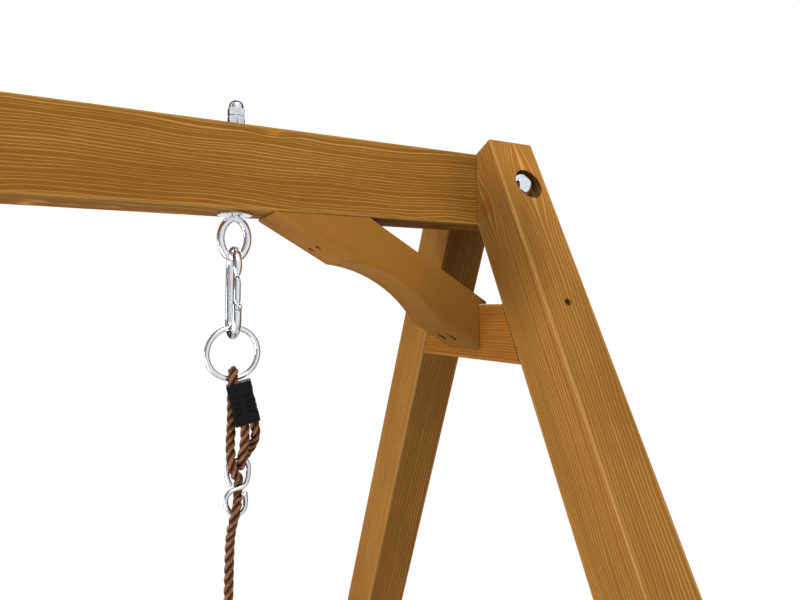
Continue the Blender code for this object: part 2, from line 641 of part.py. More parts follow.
def make_cap_nut(side, seat):
    """Domed nut: hexagon below, half-round cap above, blind thread hole."""
    cap = link_part(f"cap_nut_{side}", hex_mesh("cap_nut", TOP_NUT_FLATS, CAP_NUT_HEX_HEIGHT),
                    "bright_zinc", Matrix.Translation(seat))
    shoulder = CAP_NUT_HEIGHT - CAP_NUT_DOME_RADIUS
    inside = CAP_NUT_HEX_HEIGHT - 0.003
    profile = [(0, CAP_NUT_HEIGHT)]
    profile += arc((0, shoulder), CAP_NUT_DOME_RADIUS, 75, 0, 6)
    profile += [(CAP_NUT_DOME_RADIUS, inside), (0, inside)]
    mesh = bpy.data.meshes.new("cap_nut_dome")
    mesh.from_pydata([(r, 0, z) for r, z in profile],
                     [(i, i + 1) for i in range(len(profile) - 1)], [])
    dome = link_cutter(f"join_cap_nut_dome_{side}", mesh, Matrix.Translation(seat))
    screw = dome.modifiers.new("turn", "SCREW")
    screw.axis = "Z"
    screw.angle = math.tau
    screw.steps = 24
    screw.render_steps = 24
    screw.use_merge_vertices = True
    screw.merge_threshold = WELD_DISTANCE
    add_boolean(cap, dome, "UNION")
    add_boolean(cap, drill(f"cut_cap_nut_{side}", seat - Vector((0, 0, OVERRUN)),
                           seat + Vector((0, 0, CAP_NUT_BORE_DEPTH)), SHANK_RADIUS + GAP, 20))


def make_snap_hook(side):
    """Bent wire hook in the YZ plane with a forked end, its gate and the gate's pin."""
    origin = hanger_frame(side)
    half = HOOK_HALF_WIDTH
    top_bend = [(half * math.cos(a), -HOOK_TOP_DROP - HOOK_TOP_RISE * (1 - math.sin(a)))
                for a in np.radians(np.linspace(180, 0, 11))]
    foot_bend = [(half * math.cos(a), -HOOK_BOTTOM_DROP + HOOK_FOOT_RISE * (1 + math.sin(a)))
                 for a in np.radians(np.linspace(0, -180, 11))]
    outline = [(-half, -HOOK_NOSE_DROP)] + top_bend + foot_bend + [(-half, -FORK_TOP_DROP)]
    points = [origin + Vector((0, y, z)) for y, z in outline]
    source = wire(f"snap_hook_{side}_wire", "bright_zinc", points, HOOK_WIRE_RADIUS)
    source.data.splines[0].points[0].radius = HOOK_NOSE_RADIUS / HOOK_WIRE_RADIUS
    bpy.context.view_layer.update()
    hook = as_mesh_part(source, f"snap_hook_{side}", "bright_zinc")
    shade_round(hook.data, 50)
    pin_place = origin + Vector((0, -half, -GATE_PIN_DROP))
    slot_half = GATE_NECK_RADIUS + GAP
    slot = link_cutter(f"cut_hook_slot_{side}",
                       box_mesh("slot", (-slot_half, -0.008, -GATE_FOOT - 0.0006),
                                (slot_half, 0.008, 0.008)),
                       Matrix.Translation(pin_place))
    across = Vector((0.007, 0, 0))
    hole = drill(f"cut_gate_pin_{side}", pin_place - across, pin_place + across,
                 PIN_BORE_RADIUS, 12)
    add_boolean(hook, slot)
    add_boolean(hook, hole)
    rod_top = GATE_PIN_DROP - GATE_TOP_DROP
    peg_top = rod_top + GATE_PEG_HEIGHT
    profile = [(0, peg_top), (GATE_PEG_RADIUS, peg_top), (GATE_PEG_RADIUS, rod_top),
               (GATE_TIP_RADIUS - 0.0006, rod_top), (GATE_TIP_RADIUS, rod_top - 0.0006),
               (GATE_RADIUS, rod_top - GATE_TAPER), (GATE_RADIUS, GATE_NECK_TOP + 0.0016),
               (GATE_NECK_RADIUS, GATE_NECK_TOP), (GATE_NECK_RADIUS, 0.0008 - GATE_FOOT),
               (GATE_NECK_RADIUS - 0.0011, -GATE_FOOT), (0, -GATE_FOOT)]
    gate = turned(f"hook_gate_{side}", "bright_zinc", profile, Matrix.Translation(pin_place), 16)
    gate_hole = drill(f"cut_gate_bore_{side}", pin_place - across, pin_place + across,
                      PIN_BORE_RADIUS, 12)
    add_boolean(gate, gate_hole)
    reach = Vector((HOOK_WIRE_RADIUS + 0.0002, 0, 0))
    pin = link_part(f"gate_pin_{side}", cylinder_mesh("gate_pin", PIN_RADIUS, 2 * reach.x, 12),
                    "bright_zinc", along(pin_place - reach, pin_place + reach))
    hook_pivot = pivot_at(f"hook_pivot_{side}", origin - Vector((0, 0, EYE_AXIS_DROP)))
    gate_pivot = pivot_at(f"gate_pivot_{side}", pin_place)
    ride_on(hook_pivot, hook, pin)
    gate_place = gate.matrix_world.copy()
    ride_on(gate_pivot, gate)
    gate.matrix_basis = gate_place
    return hook


def make_ring(side):
    origin = hanger_frame(side)
    centre = origin - Vector((0, 0, RING_TOP_DROP + RING_RADIUS))
    points = [centre + Vector((x, 0, z)) for x, z in arc((0, 0), RING_RADIUS, 0, 350, 36)]
    ring = wire(f"ring_{side}", "bright_zinc", points, RING_WIRE_RADIUS, 2, cyclic=True)
    pivot = pivot_at(f"ring_pivot_{side}", origin - Vector((0, 0, RING_TOP_DROP)))
    ride_on(pivot, ring)


# ---- swing ------------------------------------------------------------------------------
def rope_points(side):
    upper = local_route(side, ROPE_ROUTE)
    seat_middle = Vector((SIDES[side] * HANGER_X, 0, SEAT_HEIGHT))
    lower = [seat_middle + Vector(point) * MM for point in SEAT_ROUTE]
    return smooth_route(upper + lower, 0.06, 24)


def make_clamp_half(name, matrix, bores, low, high):
    """Half of a two-part rope clamp with grooves for the strands."""
    half = link_part(name, box_mesh(name, low, high), "black_plastic", matrix)
    add_eased_edges(half, CLAMP_EASED_EDGE)
    for bore in bores:
        add_boolean(half, bore)
    return half


def make_top_clamp(side):
    """Clamp that closes the rope's end loop, leaning in the XZ plane."""
    top = hanger_frame(side) + Vector(CLAMP_TOP)
    lean = Matrix.Translation(top) @ Matrix.Rotation(-CLAMP_TILT, 4, "Y")
    lean = lean @ Matrix.Rotation(-CLAMP_TURN, 4, "Z")
    bores = []
    for name, x in CLAMP_STRANDS.items():
        start = lean @ Vector((x, 0, -CLAMP_HEIGHT - OVERRUN))
        end = lean @ Vector((x, 0, OVERRUN if name == "main" else -END_STRAND_START))
        bores.append(drill(f"cut_clamp_{name}_{side}", start, end,
                           ROPE_RADIUS + STRAND_CLEARANCE, 16))
    width = CLAMP_WIDTH / 2
    thick = CLAMP_THICKNESS / 2
    front = make_clamp_half(f"rope_clamp_front_{side}", lean, bores,
                            (-width, -thick, -CLAMP_HEIGHT), (width, -GAP / 2, 0))
    back = make_clamp_half(f"rope_clamp_back_{side}", lean, bores,
                           (-width, GAP / 2, -CLAMP_HEIGHT), (width, thick, 0))
    return [front, back]


def make_seat_clamp(side):
    """Clamp above the seat that gathers the two strands of the rope's lower triangle."""
    x = SIDES[side] * HANGER_X
    base = Matrix.Translation((x, 0, SEAT_HEIGHT + SEAT_CLAMP_RISE))
    bores = []
    for name, sign in (("main", -1), ("tail", 1)):
        y = sign * STRAND_SPACING / 2
        bores.append(drill(f"cut_seat_clamp_{name}_{side}", base @ Vector((0, y, -OVERRUN)),
                           base @ Vector((0, y, SEAT_CLAMP_HEIGHT + OVERRUN)),
                           ROPE_RADIUS + SEAT_BORE_CLEARANCE, 16))
    width = CLAMP_WIDTH / 2
    thick = CLAMP_THICKNESS / 2
    return make_clamp_half(f"seat_clamp_{side}", base, bores, (-thick, -width, 0),
                           (thick, width, SEAT_CLAMP_HEIGHT))


def make_seat():
    """Board with rounded corners and four rope holes."""
    corner = SEAT_CORNER_RADIUS
    across = SEAT_LENGTH / 2 - corner
    deep = SEAT_DEPTH / 2 - corner
    outline = []
    for x, y, start in ((across, deep, 0), (-across, deep, 90), (-across, -deep, 180),
                        (across, -deep, 270)):
        outline += arc((x, y), corner, start, start + 90, 6)
    middle = Matrix.Translation((0, 0, SEAT_HEIGHT - SEAT_THICKNESS / 2))
    seat = prism("seat_board", "stained_softwood", outline, SEAT_THICKNESS, middle)
    add_eased_edges(seat, SEAT_EASED_EDGE)
    for side, sign in SIDES.items():
        for end, way in ENDS.items():
            place = Vector((sign * HANGER_X, way * SEAT_HOLE_Y, SEAT_HEIGHT))
            add_boolean(seat, drill(f"cut_seat_{end}_{side}", place - Vector((0, 0, LONG_OVERRUN)),
                                    place + Vector((0, 0, OVERRUN)), SEAT_HOLE_RADIUS, 20))
    return seat


def make_swing():
    pivot = pivot_at("swing_pivot", (0, 0, BEAM_UNDERSIDE - RING_BOTTOM_DROP))
    pieces = [make_seat()]
    for side in SIDES:
        rope = wire(f"rope_{side}", "brown_rope", rope_points(side), ROPE_RADIUS, 2)
        adjuster_points = smooth_route(local_route(side, ADJUSTER_ROUTE), 0.05, 20)
        adjuster = wire(f"rope_adjuster_{side}", "bright_zinc", adjuster_points,
                        ADJUSTER_WIRE_RADIUS, 2)
        pieces += [rope, adjuster, make_seat_clamp(side)] + make_top_clamp(side)
    bpy.context.view_layer.update()
    for piece in pieces:
        place = piece.matrix_world.copy()
        ride_on(pivot, piece)
        piece.matrix_basis = place


# ---- build ------------------------------------------------------------------------------
clear_scene()
parts = new_collection("swing_set")
cutters = new_collection("cutters")

top_beam = make_beam()
for side_name in SIDES:
    frame_legs = {end_name: make_leg(side_name, end_name) for end_name in ENDS}
    frame_crossbar = make_crossbar(side_name)
    knee_brace = make_brace(side_name)
    for end_name, frame_leg in frame_legs.items():
        make_leg_screw(side_name, end_name, frame_leg, frame_crossbar)
    make_brace_screws(side_name, knee_brace, top_beam, frame_crossbar)
    make_frame_bolt(side_name, top_beam, frame_legs)
    make_eye_bolt(side_name, top_beam)
    make_snap_hook(side_name)
    make_ring(side_name)
make_swing()
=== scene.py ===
"""Looks of the timber swing set: stained softwood, zinc-plated hangers and brown laid rope."""

import math

import bmesh
import bpy
import numpy as np
from mathutils import Matrix, Vector


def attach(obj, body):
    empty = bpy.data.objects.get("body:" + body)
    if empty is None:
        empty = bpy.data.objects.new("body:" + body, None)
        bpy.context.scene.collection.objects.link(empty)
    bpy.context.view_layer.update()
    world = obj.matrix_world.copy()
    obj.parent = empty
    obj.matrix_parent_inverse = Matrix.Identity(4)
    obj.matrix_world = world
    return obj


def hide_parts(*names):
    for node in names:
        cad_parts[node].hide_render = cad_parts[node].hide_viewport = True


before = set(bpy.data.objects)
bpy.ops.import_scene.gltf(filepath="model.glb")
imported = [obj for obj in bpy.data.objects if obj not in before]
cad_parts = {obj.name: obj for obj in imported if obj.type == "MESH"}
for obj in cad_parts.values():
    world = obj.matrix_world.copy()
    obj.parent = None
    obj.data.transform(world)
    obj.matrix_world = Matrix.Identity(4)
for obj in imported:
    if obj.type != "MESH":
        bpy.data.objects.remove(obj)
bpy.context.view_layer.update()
MM = 0.001

# ---- places that repeat the CAD model ---------------------------------------------------
BEAM_UNDERSIDE = 1.800
BEAM_HEIGHT = 0.095
HALF_SPAN = 0.530
HANGER_X = 0.219
LEG_SPLAY = math.radians(24.1)
BRACE_SLOPE = math.atan(0.6035)
SEAT_HEIGHT = 0.430
GAP = 0.0003
WASHER_THICKNESS = 0.0025
SIDES = {"right": 1, "left": -1}
ENDS = {"front": -1, "back": 1}
BEAM_SECTION = (0.070, BEAM_HEIGHT)
LEG_SECTION = (0.070, 0.072)
LEG_INNER_Y = 0.0353             # leg's inner edge at the beam's underside
SEAT_SECTION = (0.170, 0.022)
CROSSBAR_DROP = 0.142            # middle of the crossbar under the beam's underside
BOLT_OFFSET = 0.0405             # cross bolt, out from the inner face of the A-frame
BOLT_Z = BEAM_UNDERSIDE + BEAM_HEIGHT / 2
COUNTERBORE_FLOOR = 0.0766       # from the beam's middle plane

# ---- grain patterns and painted shade, in metres ----------------------------------------
BRACE_GRAIN_SECTION = (0.070, 0.200)    # taller than the brace: its long edges show no wear
BRACE_GRAIN_CENTRE = (0.130, 0.052)     # in from the A-frame and under the beam's underside
# painted shade inside the frame bolt's counterbore reaches out to this radius
PAINTED_SHADE_BORE_RADIUS = 0.0197               # just over the counterbore's own radius

# ---- camera and surroundings ------------------------------------------------------------
CAMERA_PLACE = (0.0639, -0.6817, 1.6928)
CAMERA_ANGLES = (28.35, 5.56, -0.66)    # yaw, pitch and roll in degrees
CAMERA_LENS = 26.98
CAMERA_SHIFT = -0.0652
FLOOR_RADIUS = 2.4
FLOOR_DROP = 0.0006
FLAG_STOPS = (                   # place round the horizon and brightness
    (0.005, 0.9), (0.022, 0.02), (0.078, 0.02), (0.100, 1.0),
    (0.122, 1.0), (0.138, 0.06), (0.160, 0.06), (0.176, 1.0),
    (0.450, 1.0), (0.480, 0.02), (0.625, 0.02), (0.655, 1.0),
    (0.750, 1.0), (0.780, 0.02), (0.925, 0.02), (0.950, 1.0),
)

# ---- bolts, nuts and washers, in metres -------------------------------------------------
BOLT_FLATS = 0.019
BOLT_HEAD_HEIGHT = 0.0075
BOLT_NUT_HEIGHT = 0.010
THREAD_PITCH = 0.00175
NUT_FLATS = 0.0175
NUT_BORE = 0.005
LOCK_NUT_HEIGHT = 0.0142
CAP_HEX_HEIGHT = 0.0092
DOME_RADIUS = 0.0083
DOME_CENTRE = 0.0112             # above the cap nut's foot
WASHER_BORE = 0.0049

# ---- hanger, with heights from the beam's underside, in metres --------------------------
WIRE_STEP = 0.0016
EYE_WIRE_RADIUS = 0.0043
ADJUSTER_WIRE_RADIUS = 0.0026
RING_RADIUS = 0.028
RING_WIRE_RADIUS = 0.003
RING_DROP = 0.1569               # ring's centre under the beam
HOOK_STEP = 0.0018
HOOK_WIRE_RADIUS = 0.005
HOOK_HALF_WIDTH = 0.0175
HOOK_TOP = (-0.0629, 0.0205)     # height of the arc's centre and its rise
HOOK_FOOT = (-0.1182, 0.019)
HOOK_NOSE_Z = -0.0716
HOOK_NOSE_RADIUS = 0.0031
HOOK_NOSE_TAPER = 0.0088
FORK_TOP_Z = -0.1018
PIN_Z = -0.106

# ---- clamps on the rope and above the seat, in metres -----------------------------------
CLAMP_PLACE = (0.00405, -0.0113, -0.1880)
CLAMP_TILT = math.radians(-14.6)
CLAMP_TURN = math.radians(-13.0)
CLAMP_HALF_WIDTH = 0.0127
CLAMP_HALF_DEPTH = 0.008
CLAMP_SPLIT = 0.00015            # half the gap between the two halves
CLAMP_HEIGHT = 0.0455
CLAMP_BAND_HALF_WIDTH = 0.0133
CLAMP_BANDS = ((-0.0108, -0.0001), (-0.0238, -0.0212), (-0.0300, -0.0275),
               (-0.0454, -0.0350))
CLAMP_BORES = ((-0.0046, 0.01), (0.0061, -0.0095))    # X and top of each strand's bore
CLAMP_BORE_FOOT = -0.057
CLAMP_BORE_RADIUS = 0.0054
WINDOW_ROWS = (-0.0145, -0.0205, -0.0265, -0.0320)
WINDOW_COLUMNS = (-0.0058, 0.0058)
WINDOW_RADIUS = 0.0032
WINDOW_DEPTH = 0.0015
WINDOW_SQUASH = 0.62
SEAT_CLAMP_RISE = 0.149          # above the seat's top
SEAT_CLAMP_SIZE = (0.0074, 0.0119, 0.032)    # half widths and height
SEAT_BAND_HALF_WIDTHS = (0.008, 0.0125)
SEAT_CLAMP_BANDS = ((0.0001, 0.008), (0.0145, 0.0175), (0.024, 0.0319))
SEAT_CLAMP_BORE_RADIUS = 0.0056
SEAT_CLAMP_BORE = (0.045, -0.012)    # top and foot
SEAT_STRAND_Y = 0.0058
PLASTIC_BEVEL = 0.0007
BAND_BEVEL = 0.0005
SMALL_SHARP_ANGLE = math.radians(30)
WIRE_SHARP_ANGLE = math.radians(40)

# ---- rope and bent wires, with routes in millimetres from the beam's underside ----------
STRAND_RADIUS = 0.00278
STRAND_OFFSET = 0.00248
LAY_LENGTH = 0.033
STRAND_SIDES = 12
ROPE_STEP = 0.0021
ROPE_ROUTE = (
    (13.0, -12.7, -199.1), (17.1, -12.7, -214.6), (22.1, -12.7, -233.9),
    (24.2, -9.4, -244.2), (24.4, -1.5, -255.0), (22.0, 6.4, -264.4), (17.6, 9.6, -271.6),
    (12.5, 7.4, -278.4), (9.8, 0.4, -279.9), (9.6, -6.8, -276.2), (9.8, -11.0, -266.4),
    (11.8, -11.6, -252.0), (12.0, -10.3, -236.6), (5.5, -10.3, -211.4),
    (-0.6, -10.3, -188.0), (-0.4, -9.0, -183.0), (0.4, -5.6, -178.0), (1.0, 0, -176.0),
    (1.4, 6.2, -178.8), (2.0, 9.6, -187.0), (2.0, 10.0, -209.0), (1.8, 8.4, -236.0),
    (-0.4, 2.2, -254.0), (-1.6, -5.6, -264.6), (-1.4, -9.4, -274.0), (1.0, -8.6, -282.6),
    (4.6, -5.0, -288.6), (9.0, 2.0, -292.6), (10.8, 9.6, -297.2), (11.2, 12.6, -304.6),
    (10.4, 9.4, -311.6), (8.4, 1.8, -317.4), (5.4, -6.7, -321.9), (2.8, -9.2, -329.6),
    (0.9, -6.6, -340.0), (0.2, -2.0, -353.0), (0, 0, -370.0),
)
# The rope goes on in millimetres from the seat's top, under the board and up behind it.
SEAT_ROUTE = (
    (0, 0, 240.0), (0, -2.5, 220.0), (0, -5.4, 199.0), (0, -5.8, 180.0), (0, -5.8, 150.0),
    (0, -9.4, 136.0), (0, -20.0, 108.0), (0, -50.0, 25.0), (0, -57.5, 10.0), (0, -60.0, -2.0),
    (0, -60.0, -18.0), (0, -57.4, -26.2), (0, -50.0, -29.3), (0, 0, -29.3), (0, 50.0, -29.3),
    (0, 57.4, -26.2), (0, 60.0, -18.0), (0, 60.0, -2.0), (0, 57.5, 10.0), (0, 50.0, 25.0),
    (0, 20.0, 108.0), (0, 9.4, 136.0), (0, 5.8, 150.0), (0, 5.8, 188.0),
)
# Adjuster wire as an S whose two cut ends stop beside the diagonal in its middle.
ADJUSTER_ROUTE = (
    (0.4, 0, -299.6), (-2.0, 0, -295.2), (-3.6, 0, -290.2), (-4.1, 0, -285.0),
    (-3.3, 0, -279.2), (-0.9, 0, -274.4), (3.0, 0, -271.4), (7.6, 0, -270.5),
    (12.6, 0, -271.6), (16.8, 0, -275.2), (19.1, 0, -280.8), (19.3, 0, -288.0),
    (18.4, 0, -294.6), (16.4, 0, -299.6), (12.6, 0, -302.4), (7.4, 0, -303.5),
    (2.4, 0, -304.6), (-1.6, 0, -307.0), (-4.2, 0, -311.0), (-4.9, 0, -315.8),
    (-3.9, 0, -320.6), (-1.2, 0, -325.4), (3.0, 0, -329.2), (8.0, 0, -330.7),
    (12.6, 0, -329.2), (15.6, 0, -325.0), (16.5, 0, -319.4), (16.3, 0, -313.4),
    (15.8, 0, -307.6),
)
# Eye bolt wire as X and Z.
EYE_ROUTE = (
    (0, 118.0), (0, 40.0), (0, 0), (0.6, -3.6), (3.2, -6.6), (7.8, -9.6), (12.4, -16.2),
    (15.0, -26.0), (14.7, -34.0), (12.6, -40.8), (8.0, -48.2), (0, -52.0), (-8.0, -48.2),
    (-12.6, -40.8), (-14.7, -34.0), (-15.0, -26.0), (-12.4, -16.2), (-7.8, -9.6),
    (-3.6, -6.6), (-1.4, -4.8),
)


def hanger(side):
    return Vector((SIDES[side] * HANGER_X, 0, BEAM_UNDERSIDE))


# ---- curves and meshes ------------------------------------------------------------------
def smooth_route(route, step):
    """Evenly close points on a Catmull-Rom curve through the route."""
    points = [np.array(point, dtype=float) for point in route]
    padded = [2 * points[0] - points[1]] + points + [2 * points[-1] - points[-2]]
    smooth = []
    for before, start, end, after in zip(padded, padded[1:], padded[2:], padded[3:]):
        lengths = [max(np.linalg.norm(b - a), 1e-9) ** 0.5
                   for a, b in ((before, start), (start, end), (end, after))]
        t0, t1, t2, t3 = np.cumsum([0.0] + lengths)
        count = max(1, math.ceil(np.linalg.norm(end - start) / step))
        for t in np.linspace(t1, t2, count, endpoint=False):
            a1 = (t1 - t) / (t1 - t0) * before + (t - t0) / (t1 - t0) * start
            a2 = (t2 - t) / (t2 - t1) * start + (t - t1) / (t2 - t1) * end
            a3 = (t3 - t) / (t3 - t2) * end + (t - t2) / (t3 - t2) * after
            b1 = (t2 - t) / (t2 - t0) * a1 + (t - t0) / (t2 - t0) * a2
            b2 = (t3 - t) / (t3 - t1) * a2 + (t - t1) / (t3 - t1) * a3
            smooth.append((t2 - t) / (t2 - t1) * b1 + (t - t1) / (t2 - t1) * b2)
    smooth.append(points[-1])
    return np.array(smooth)


def carried_frames(path, cyclic=False):
    """Tangents and two cross directions carried along a path without twisting."""
    ahead = np.roll(path, -1, axis=0) - path
    behind = path - np.roll(path, 1, axis=0)
    if not cyclic:
        ahead[-1] = behind[-1]
        behind[0] = ahead[0]
    tangents = ahead / np.linalg.norm(ahead, axis=1)[:, None]
    tangents += behind / np.linalg.norm(behind, axis=1)[:, None]
    tangents /= np.linalg.norm(tangents, axis=1)[:, None]
    start = np.cross(tangents[0], (0.13, 1.0, 0.07))
    normals = [start / np.linalg.norm(start)]
    for tangent in tangents[1:]:
        carried = normals[-1] - tangent * np.dot(normals[-1], tangent)
        normals.append(carried / np.linalg.norm(carried))
    normals = np.array(normals)
    return tangents, normals, np.cross(tangents, normals)


def distances_along(path):
    return np.concatenate([[0.0], np.cumsum(np.linalg.norm(np.diff(path, axis=0), axis=1))])


def tube_mesh(name, tubes, sides, cyclic=False):
    """One mesh of round tubes; each is its path and its radius along the path.

    The UV map holds the turn round the tube and the distance along it in metres.
    """
    places, faces, turns, runs = [], [], [], []
    offset = 0
    angles = np.linspace(0, math.tau, sides, endpoint=False)
    for path, radii in tubes:
        _, normals, binormals = carried_frames(path, cyclic)
        radii = np.broadcast_to(radii, len(path))
        rings = (path[:, None] + radii[:, None, None]
                 * (np.cos(angles)[None, :, None] * normals[:, None]
                    + np.sin(angles)[None, :, None] * binormals[:, None]))
        places.append(rings.reshape(-1, 3))
        run = distances_along(path)
        count = len(path)
        for i in range(count if cyclic else count - 1):
            j = (i + 1) % count
            for k in range(sides):
                m = (k + 1) % sides
                faces.append((offset + i * sides + k, offset + i * sides + m,
                              offset + j * sides + m, offset + j * sides + k))
                turns += [k, k + 1, k + 1, k]
                next_run = run[j] if j else run[-1] + 0.001
                runs += [run[i], run[i], next_run, next_run]
        if not cyclic:
            for ring, order in ((0, -1), (count - 1, 1)):
                faces.append(tuple(offset + ring * sides + k for k in range(sides))[::order])
                turns += list(range(sides))[::order]
                runs += [run[ring]] * sides
        offset += count * sides
    mesh = bpy.data.meshes.new(name)
    mesh.from_pydata(np.concatenate(places).tolist(), [], faces)
    uv = mesh.uv_layers.new(name="run")
    flat = np.stack([np.array(turns) / sides, np.array(runs)], axis=1)
    uv.data.foreach_set("uv", flat.astype(np.float32).ravel())
    mesh.shade_smooth()
    return mesh


def rounded_ends(path, radius, ease):
    """Radii that round off both ends of a path over a short length."""
    run = distances_along(path)
    near = np.minimum(run, run[-1] - run) / ease
    return radius * np.sqrt(1 - (1 - np.clip(near, 0, 1)) ** 2 * 0.75)


def lathe_mesh(name, profile, sides=48, radius_at=None):
    """Closed profile of radius and height, turned about Z; radius_at may reshape a ring."""
    angles = np.linspace(0, math.tau, sides, endpoint=False)
    places = []
    for index, (radius, height) in enumerate(profile):
        for angle in angles:
            r, z = (radius, height) if radius_at is None else radius_at(index, angle)
            places.append((r * math.cos(angle), r * math.sin(angle), z))
    count = len(profile)
    faces = []
    for i in range(count):
        j = (i + 1) % count
        for k in range(sides):
            m = (k + 1) % sides
            faces.append((i * sides + k, j * sides + k, j * sides + m, i * sides + m))
    mesh = bpy.data.meshes.new(name)
    mesh.from_pydata(places, [], faces)
    bm = bmesh.new()
    bm.from_mesh(mesh)
    bmesh.ops.remove_doubles(bm, verts=bm.verts, dist=1e-7)
    bmesh.ops.recalc_face_normals(bm, faces=bm.faces)
    bm.to_mesh(mesh)
    bm.free()
    mesh.shade_smooth()
    mesh.set_sharp_from_angle(angle=SMALL_SHARP_ANGLE)
    return mesh


def hex_nut_mesh(name, flats, height, bore, flange=0.0):
    """Chamfered hexagon nut on Z = 0, with an optional cone flange at its foot."""
    inner = flats / 2 * 0.97
    drop = math.tan(math.radians(28))

    def ring(index, angle):
        turn = (angle + math.pi / 6) % (math.pi / 3) - math.pi / 6
        corner = flats / 2 / math.cos(turn)
        fall = max(0.0, corner - inner) * drop
        rings = ((bore, height), (inner, height), (corner, height - fall), (corner, fall),
                 (inner, 0.0), (bore, 0.0))
        if flange:
            rings = rings[:3] + ((corner, flange * 0.55), (flats * 0.6, flange * 0.2),
                                 (flats * 0.6, 0.0), (bore, 0.0))
        return rings[index]

    count = 7 if flange else 6
    return lathe_mesh(name, [(0, 0)] * count, 72, ring)


def piece(name, mesh, material, body, stands_for=()):
    obj = bpy.data.objects.new(name, mesh)
    bpy.context.scene.collection.objects.link(obj)
    mesh.materials.clear()
    mesh.materials.append(material)
    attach(obj, body)
    if stands_for:
        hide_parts(*stands_for)
    return obj


def placed(mesh, matrix):
    mesh.transform(matrix)
    return mesh


# ---- node materials ---------------------------------------------------------------------
class Graph:
    """Short helper that adds and links shader nodes."""

    def __init__(self, name):
        self.material = bpy.data.materials.new(name)
        self.material.use_nodes = True
        self.nodes = self.material.node_tree.nodes
        self.links = self.material.node_tree.links
        self.shader = self.nodes["Principled BSDF"]

    def put(self, socket, value):
        if isinstance(value, bpy.types.NodeSocket):
            self.links.new(value, socket)
        else:
            socket.default_value = value

    def math(self, operation, *values):
        node = self.nodes.new("ShaderNodeMath")
        node.operation = operation
        for socket, value in zip(node.inputs, values):
            self.put(socket, value)
        return node.outputs[0]

    def vector(self, operation, *values):
        node = self.nodes.new("ShaderNodeVectorMath")
        node.operation = operation
        for socket, value in zip(node.inputs, values):
            self.put(socket, value)
        return node.outputs["Value" if operation in ("DOT_PRODUCT", "LENGTH") else "Vector"]

    def join(self, x, y, z):
        node = self.nodes.new("ShaderNodeCombineXYZ")
        for socket, value in zip(node.inputs, (x, y, z)):
            self.put(socket, value)
        return node.outputs[0]

    def coordinates(self, output="Object"):
        return self.nodes.new("ShaderNodeTexCoord").outputs[output]

    def noise(self, vector, scale=1.0, detail=2.0, roughness=0.5):
        node = self.nodes.new("ShaderNodeTexNoise")
        self.put(node.inputs["Vector"], vector)
        node.inputs["Scale"].default_value = scale
        node.inputs["Detail"].default_value = detail
        node.inputs["Roughness"].default_value = roughness
        return node.outputs["Fac"]

    def ramp(self, value, low, high, to_low=0.0, to_high=1.0):
        node = self.nodes.new("ShaderNodeMapRange")
        node.interpolation_type = "SMOOTHSTEP"
        self.put(node.inputs["Value"], value)
        for key, number in (("From Min", low), ("From Max", high), ("To Min", to_low),
                            ("To Max", to_high)):
            node.inputs[key].default_value = number
        return node.outputs["Result"]

    def blend(self, factor, first, second, mode="MIX"):
        node = self.nodes.new("ShaderNodeMix")
        node.data_type = "RGBA"
        node.blend_type = mode
        self.put(node.inputs["Factor"], factor)
        self.put(node.inputs["A"], first)
        self.put(node.inputs["B"], second)
        return node.outputs["Result"]

    def bump(self, height, distance, strength=1.0):
        node = self.nodes.new("ShaderNodeBump")
        node.inputs["Strength"].default_value = strength
        node.inputs["Distance"].default_value = distance
        self.put(node.inputs["Height"], height)
        self.links.new(node.outputs["Normal"], self.shader.inputs["Normal"])

    def finish(self, **values):
        for key, value in values.items():
            self.put(self.shader.inputs[key.replace("_", " ").title()], value)
        return self.material


def linear(red, green, blue):
    """Linear colour from an 8-bit screen colour."""
    channels = [c / 255 / 12.92 if c <= 10 else ((c / 255 + 0.055) / 1.055) ** 2.4
                for c in (red, green, blue)]
    return (*channels, 1.0)


def stretched(graph, place, along, across):
    """Place in the timber, scaled so that a pattern is drawn out along it."""
    u, v, w = place
    return graph.join(graph.math("MULTIPLY", u, along), graph.math("MULTIPLY", v, across),
                      graph.math("MULTIPLY", w, across))


def knot_marks(graph, knots, place, ring_place, sway):
    """Push the growth rings aside round each knot; also gives the knots' dark cores."""
    u, v, w = place
    v_ring, w_ring = ring_place
    dark = None
    for knot_u, knot_v, knot_w, radius in knots:
        near = graph.vector("SUBTRACT", graph.join(graph.math("MULTIPLY", u, 0.55), v, w),
                            (knot_u * 0.55, knot_v, knot_w))
        reach = graph.vector("LENGTH", near)
        push = graph.ramp(reach, radius * 0.6, radius * 4.0, 1.0, 0.0)
        v_side = graph.math("MULTIPLY", graph.math("SUBTRACT", v, knot_v), push)
        w_side = graph.math("MULTIPLY", graph.math("SUBTRACT", w, knot_w), push)
        v_ring = graph.math("SUBTRACT", v_ring, graph.math("MULTIPLY", v_side, 0.8))
        w_ring = graph.math("SUBTRACT", w_ring, graph.math("MULTIPLY", w_side, 0.8))
        close = graph.vector("SUBTRACT", graph.join(graph.math("MULTIPLY", u, 0.8), v, w),
                             (knot_u * 0.8, knot_v, knot_w))
        size_here = graph.math("ADD", graph.vector("LENGTH", close),
                               graph.math("MULTIPLY", sway, 0.004))
        core = graph.ramp(size_here, radius * 0.75, radius * 1.15, 1.0, 0.0)
        rings = graph.math("MULTIPLY", core, graph.math(
            "SINE", graph.math("MULTIPLY", size_here, 2600.0)))
        core = graph.math("ADD", core, graph.math("MULTIPLY", rings, 0.18))
        dark = core if dark is None else graph.math("MAXIMUM", dark, core)
    return v_ring, w_ring, dark


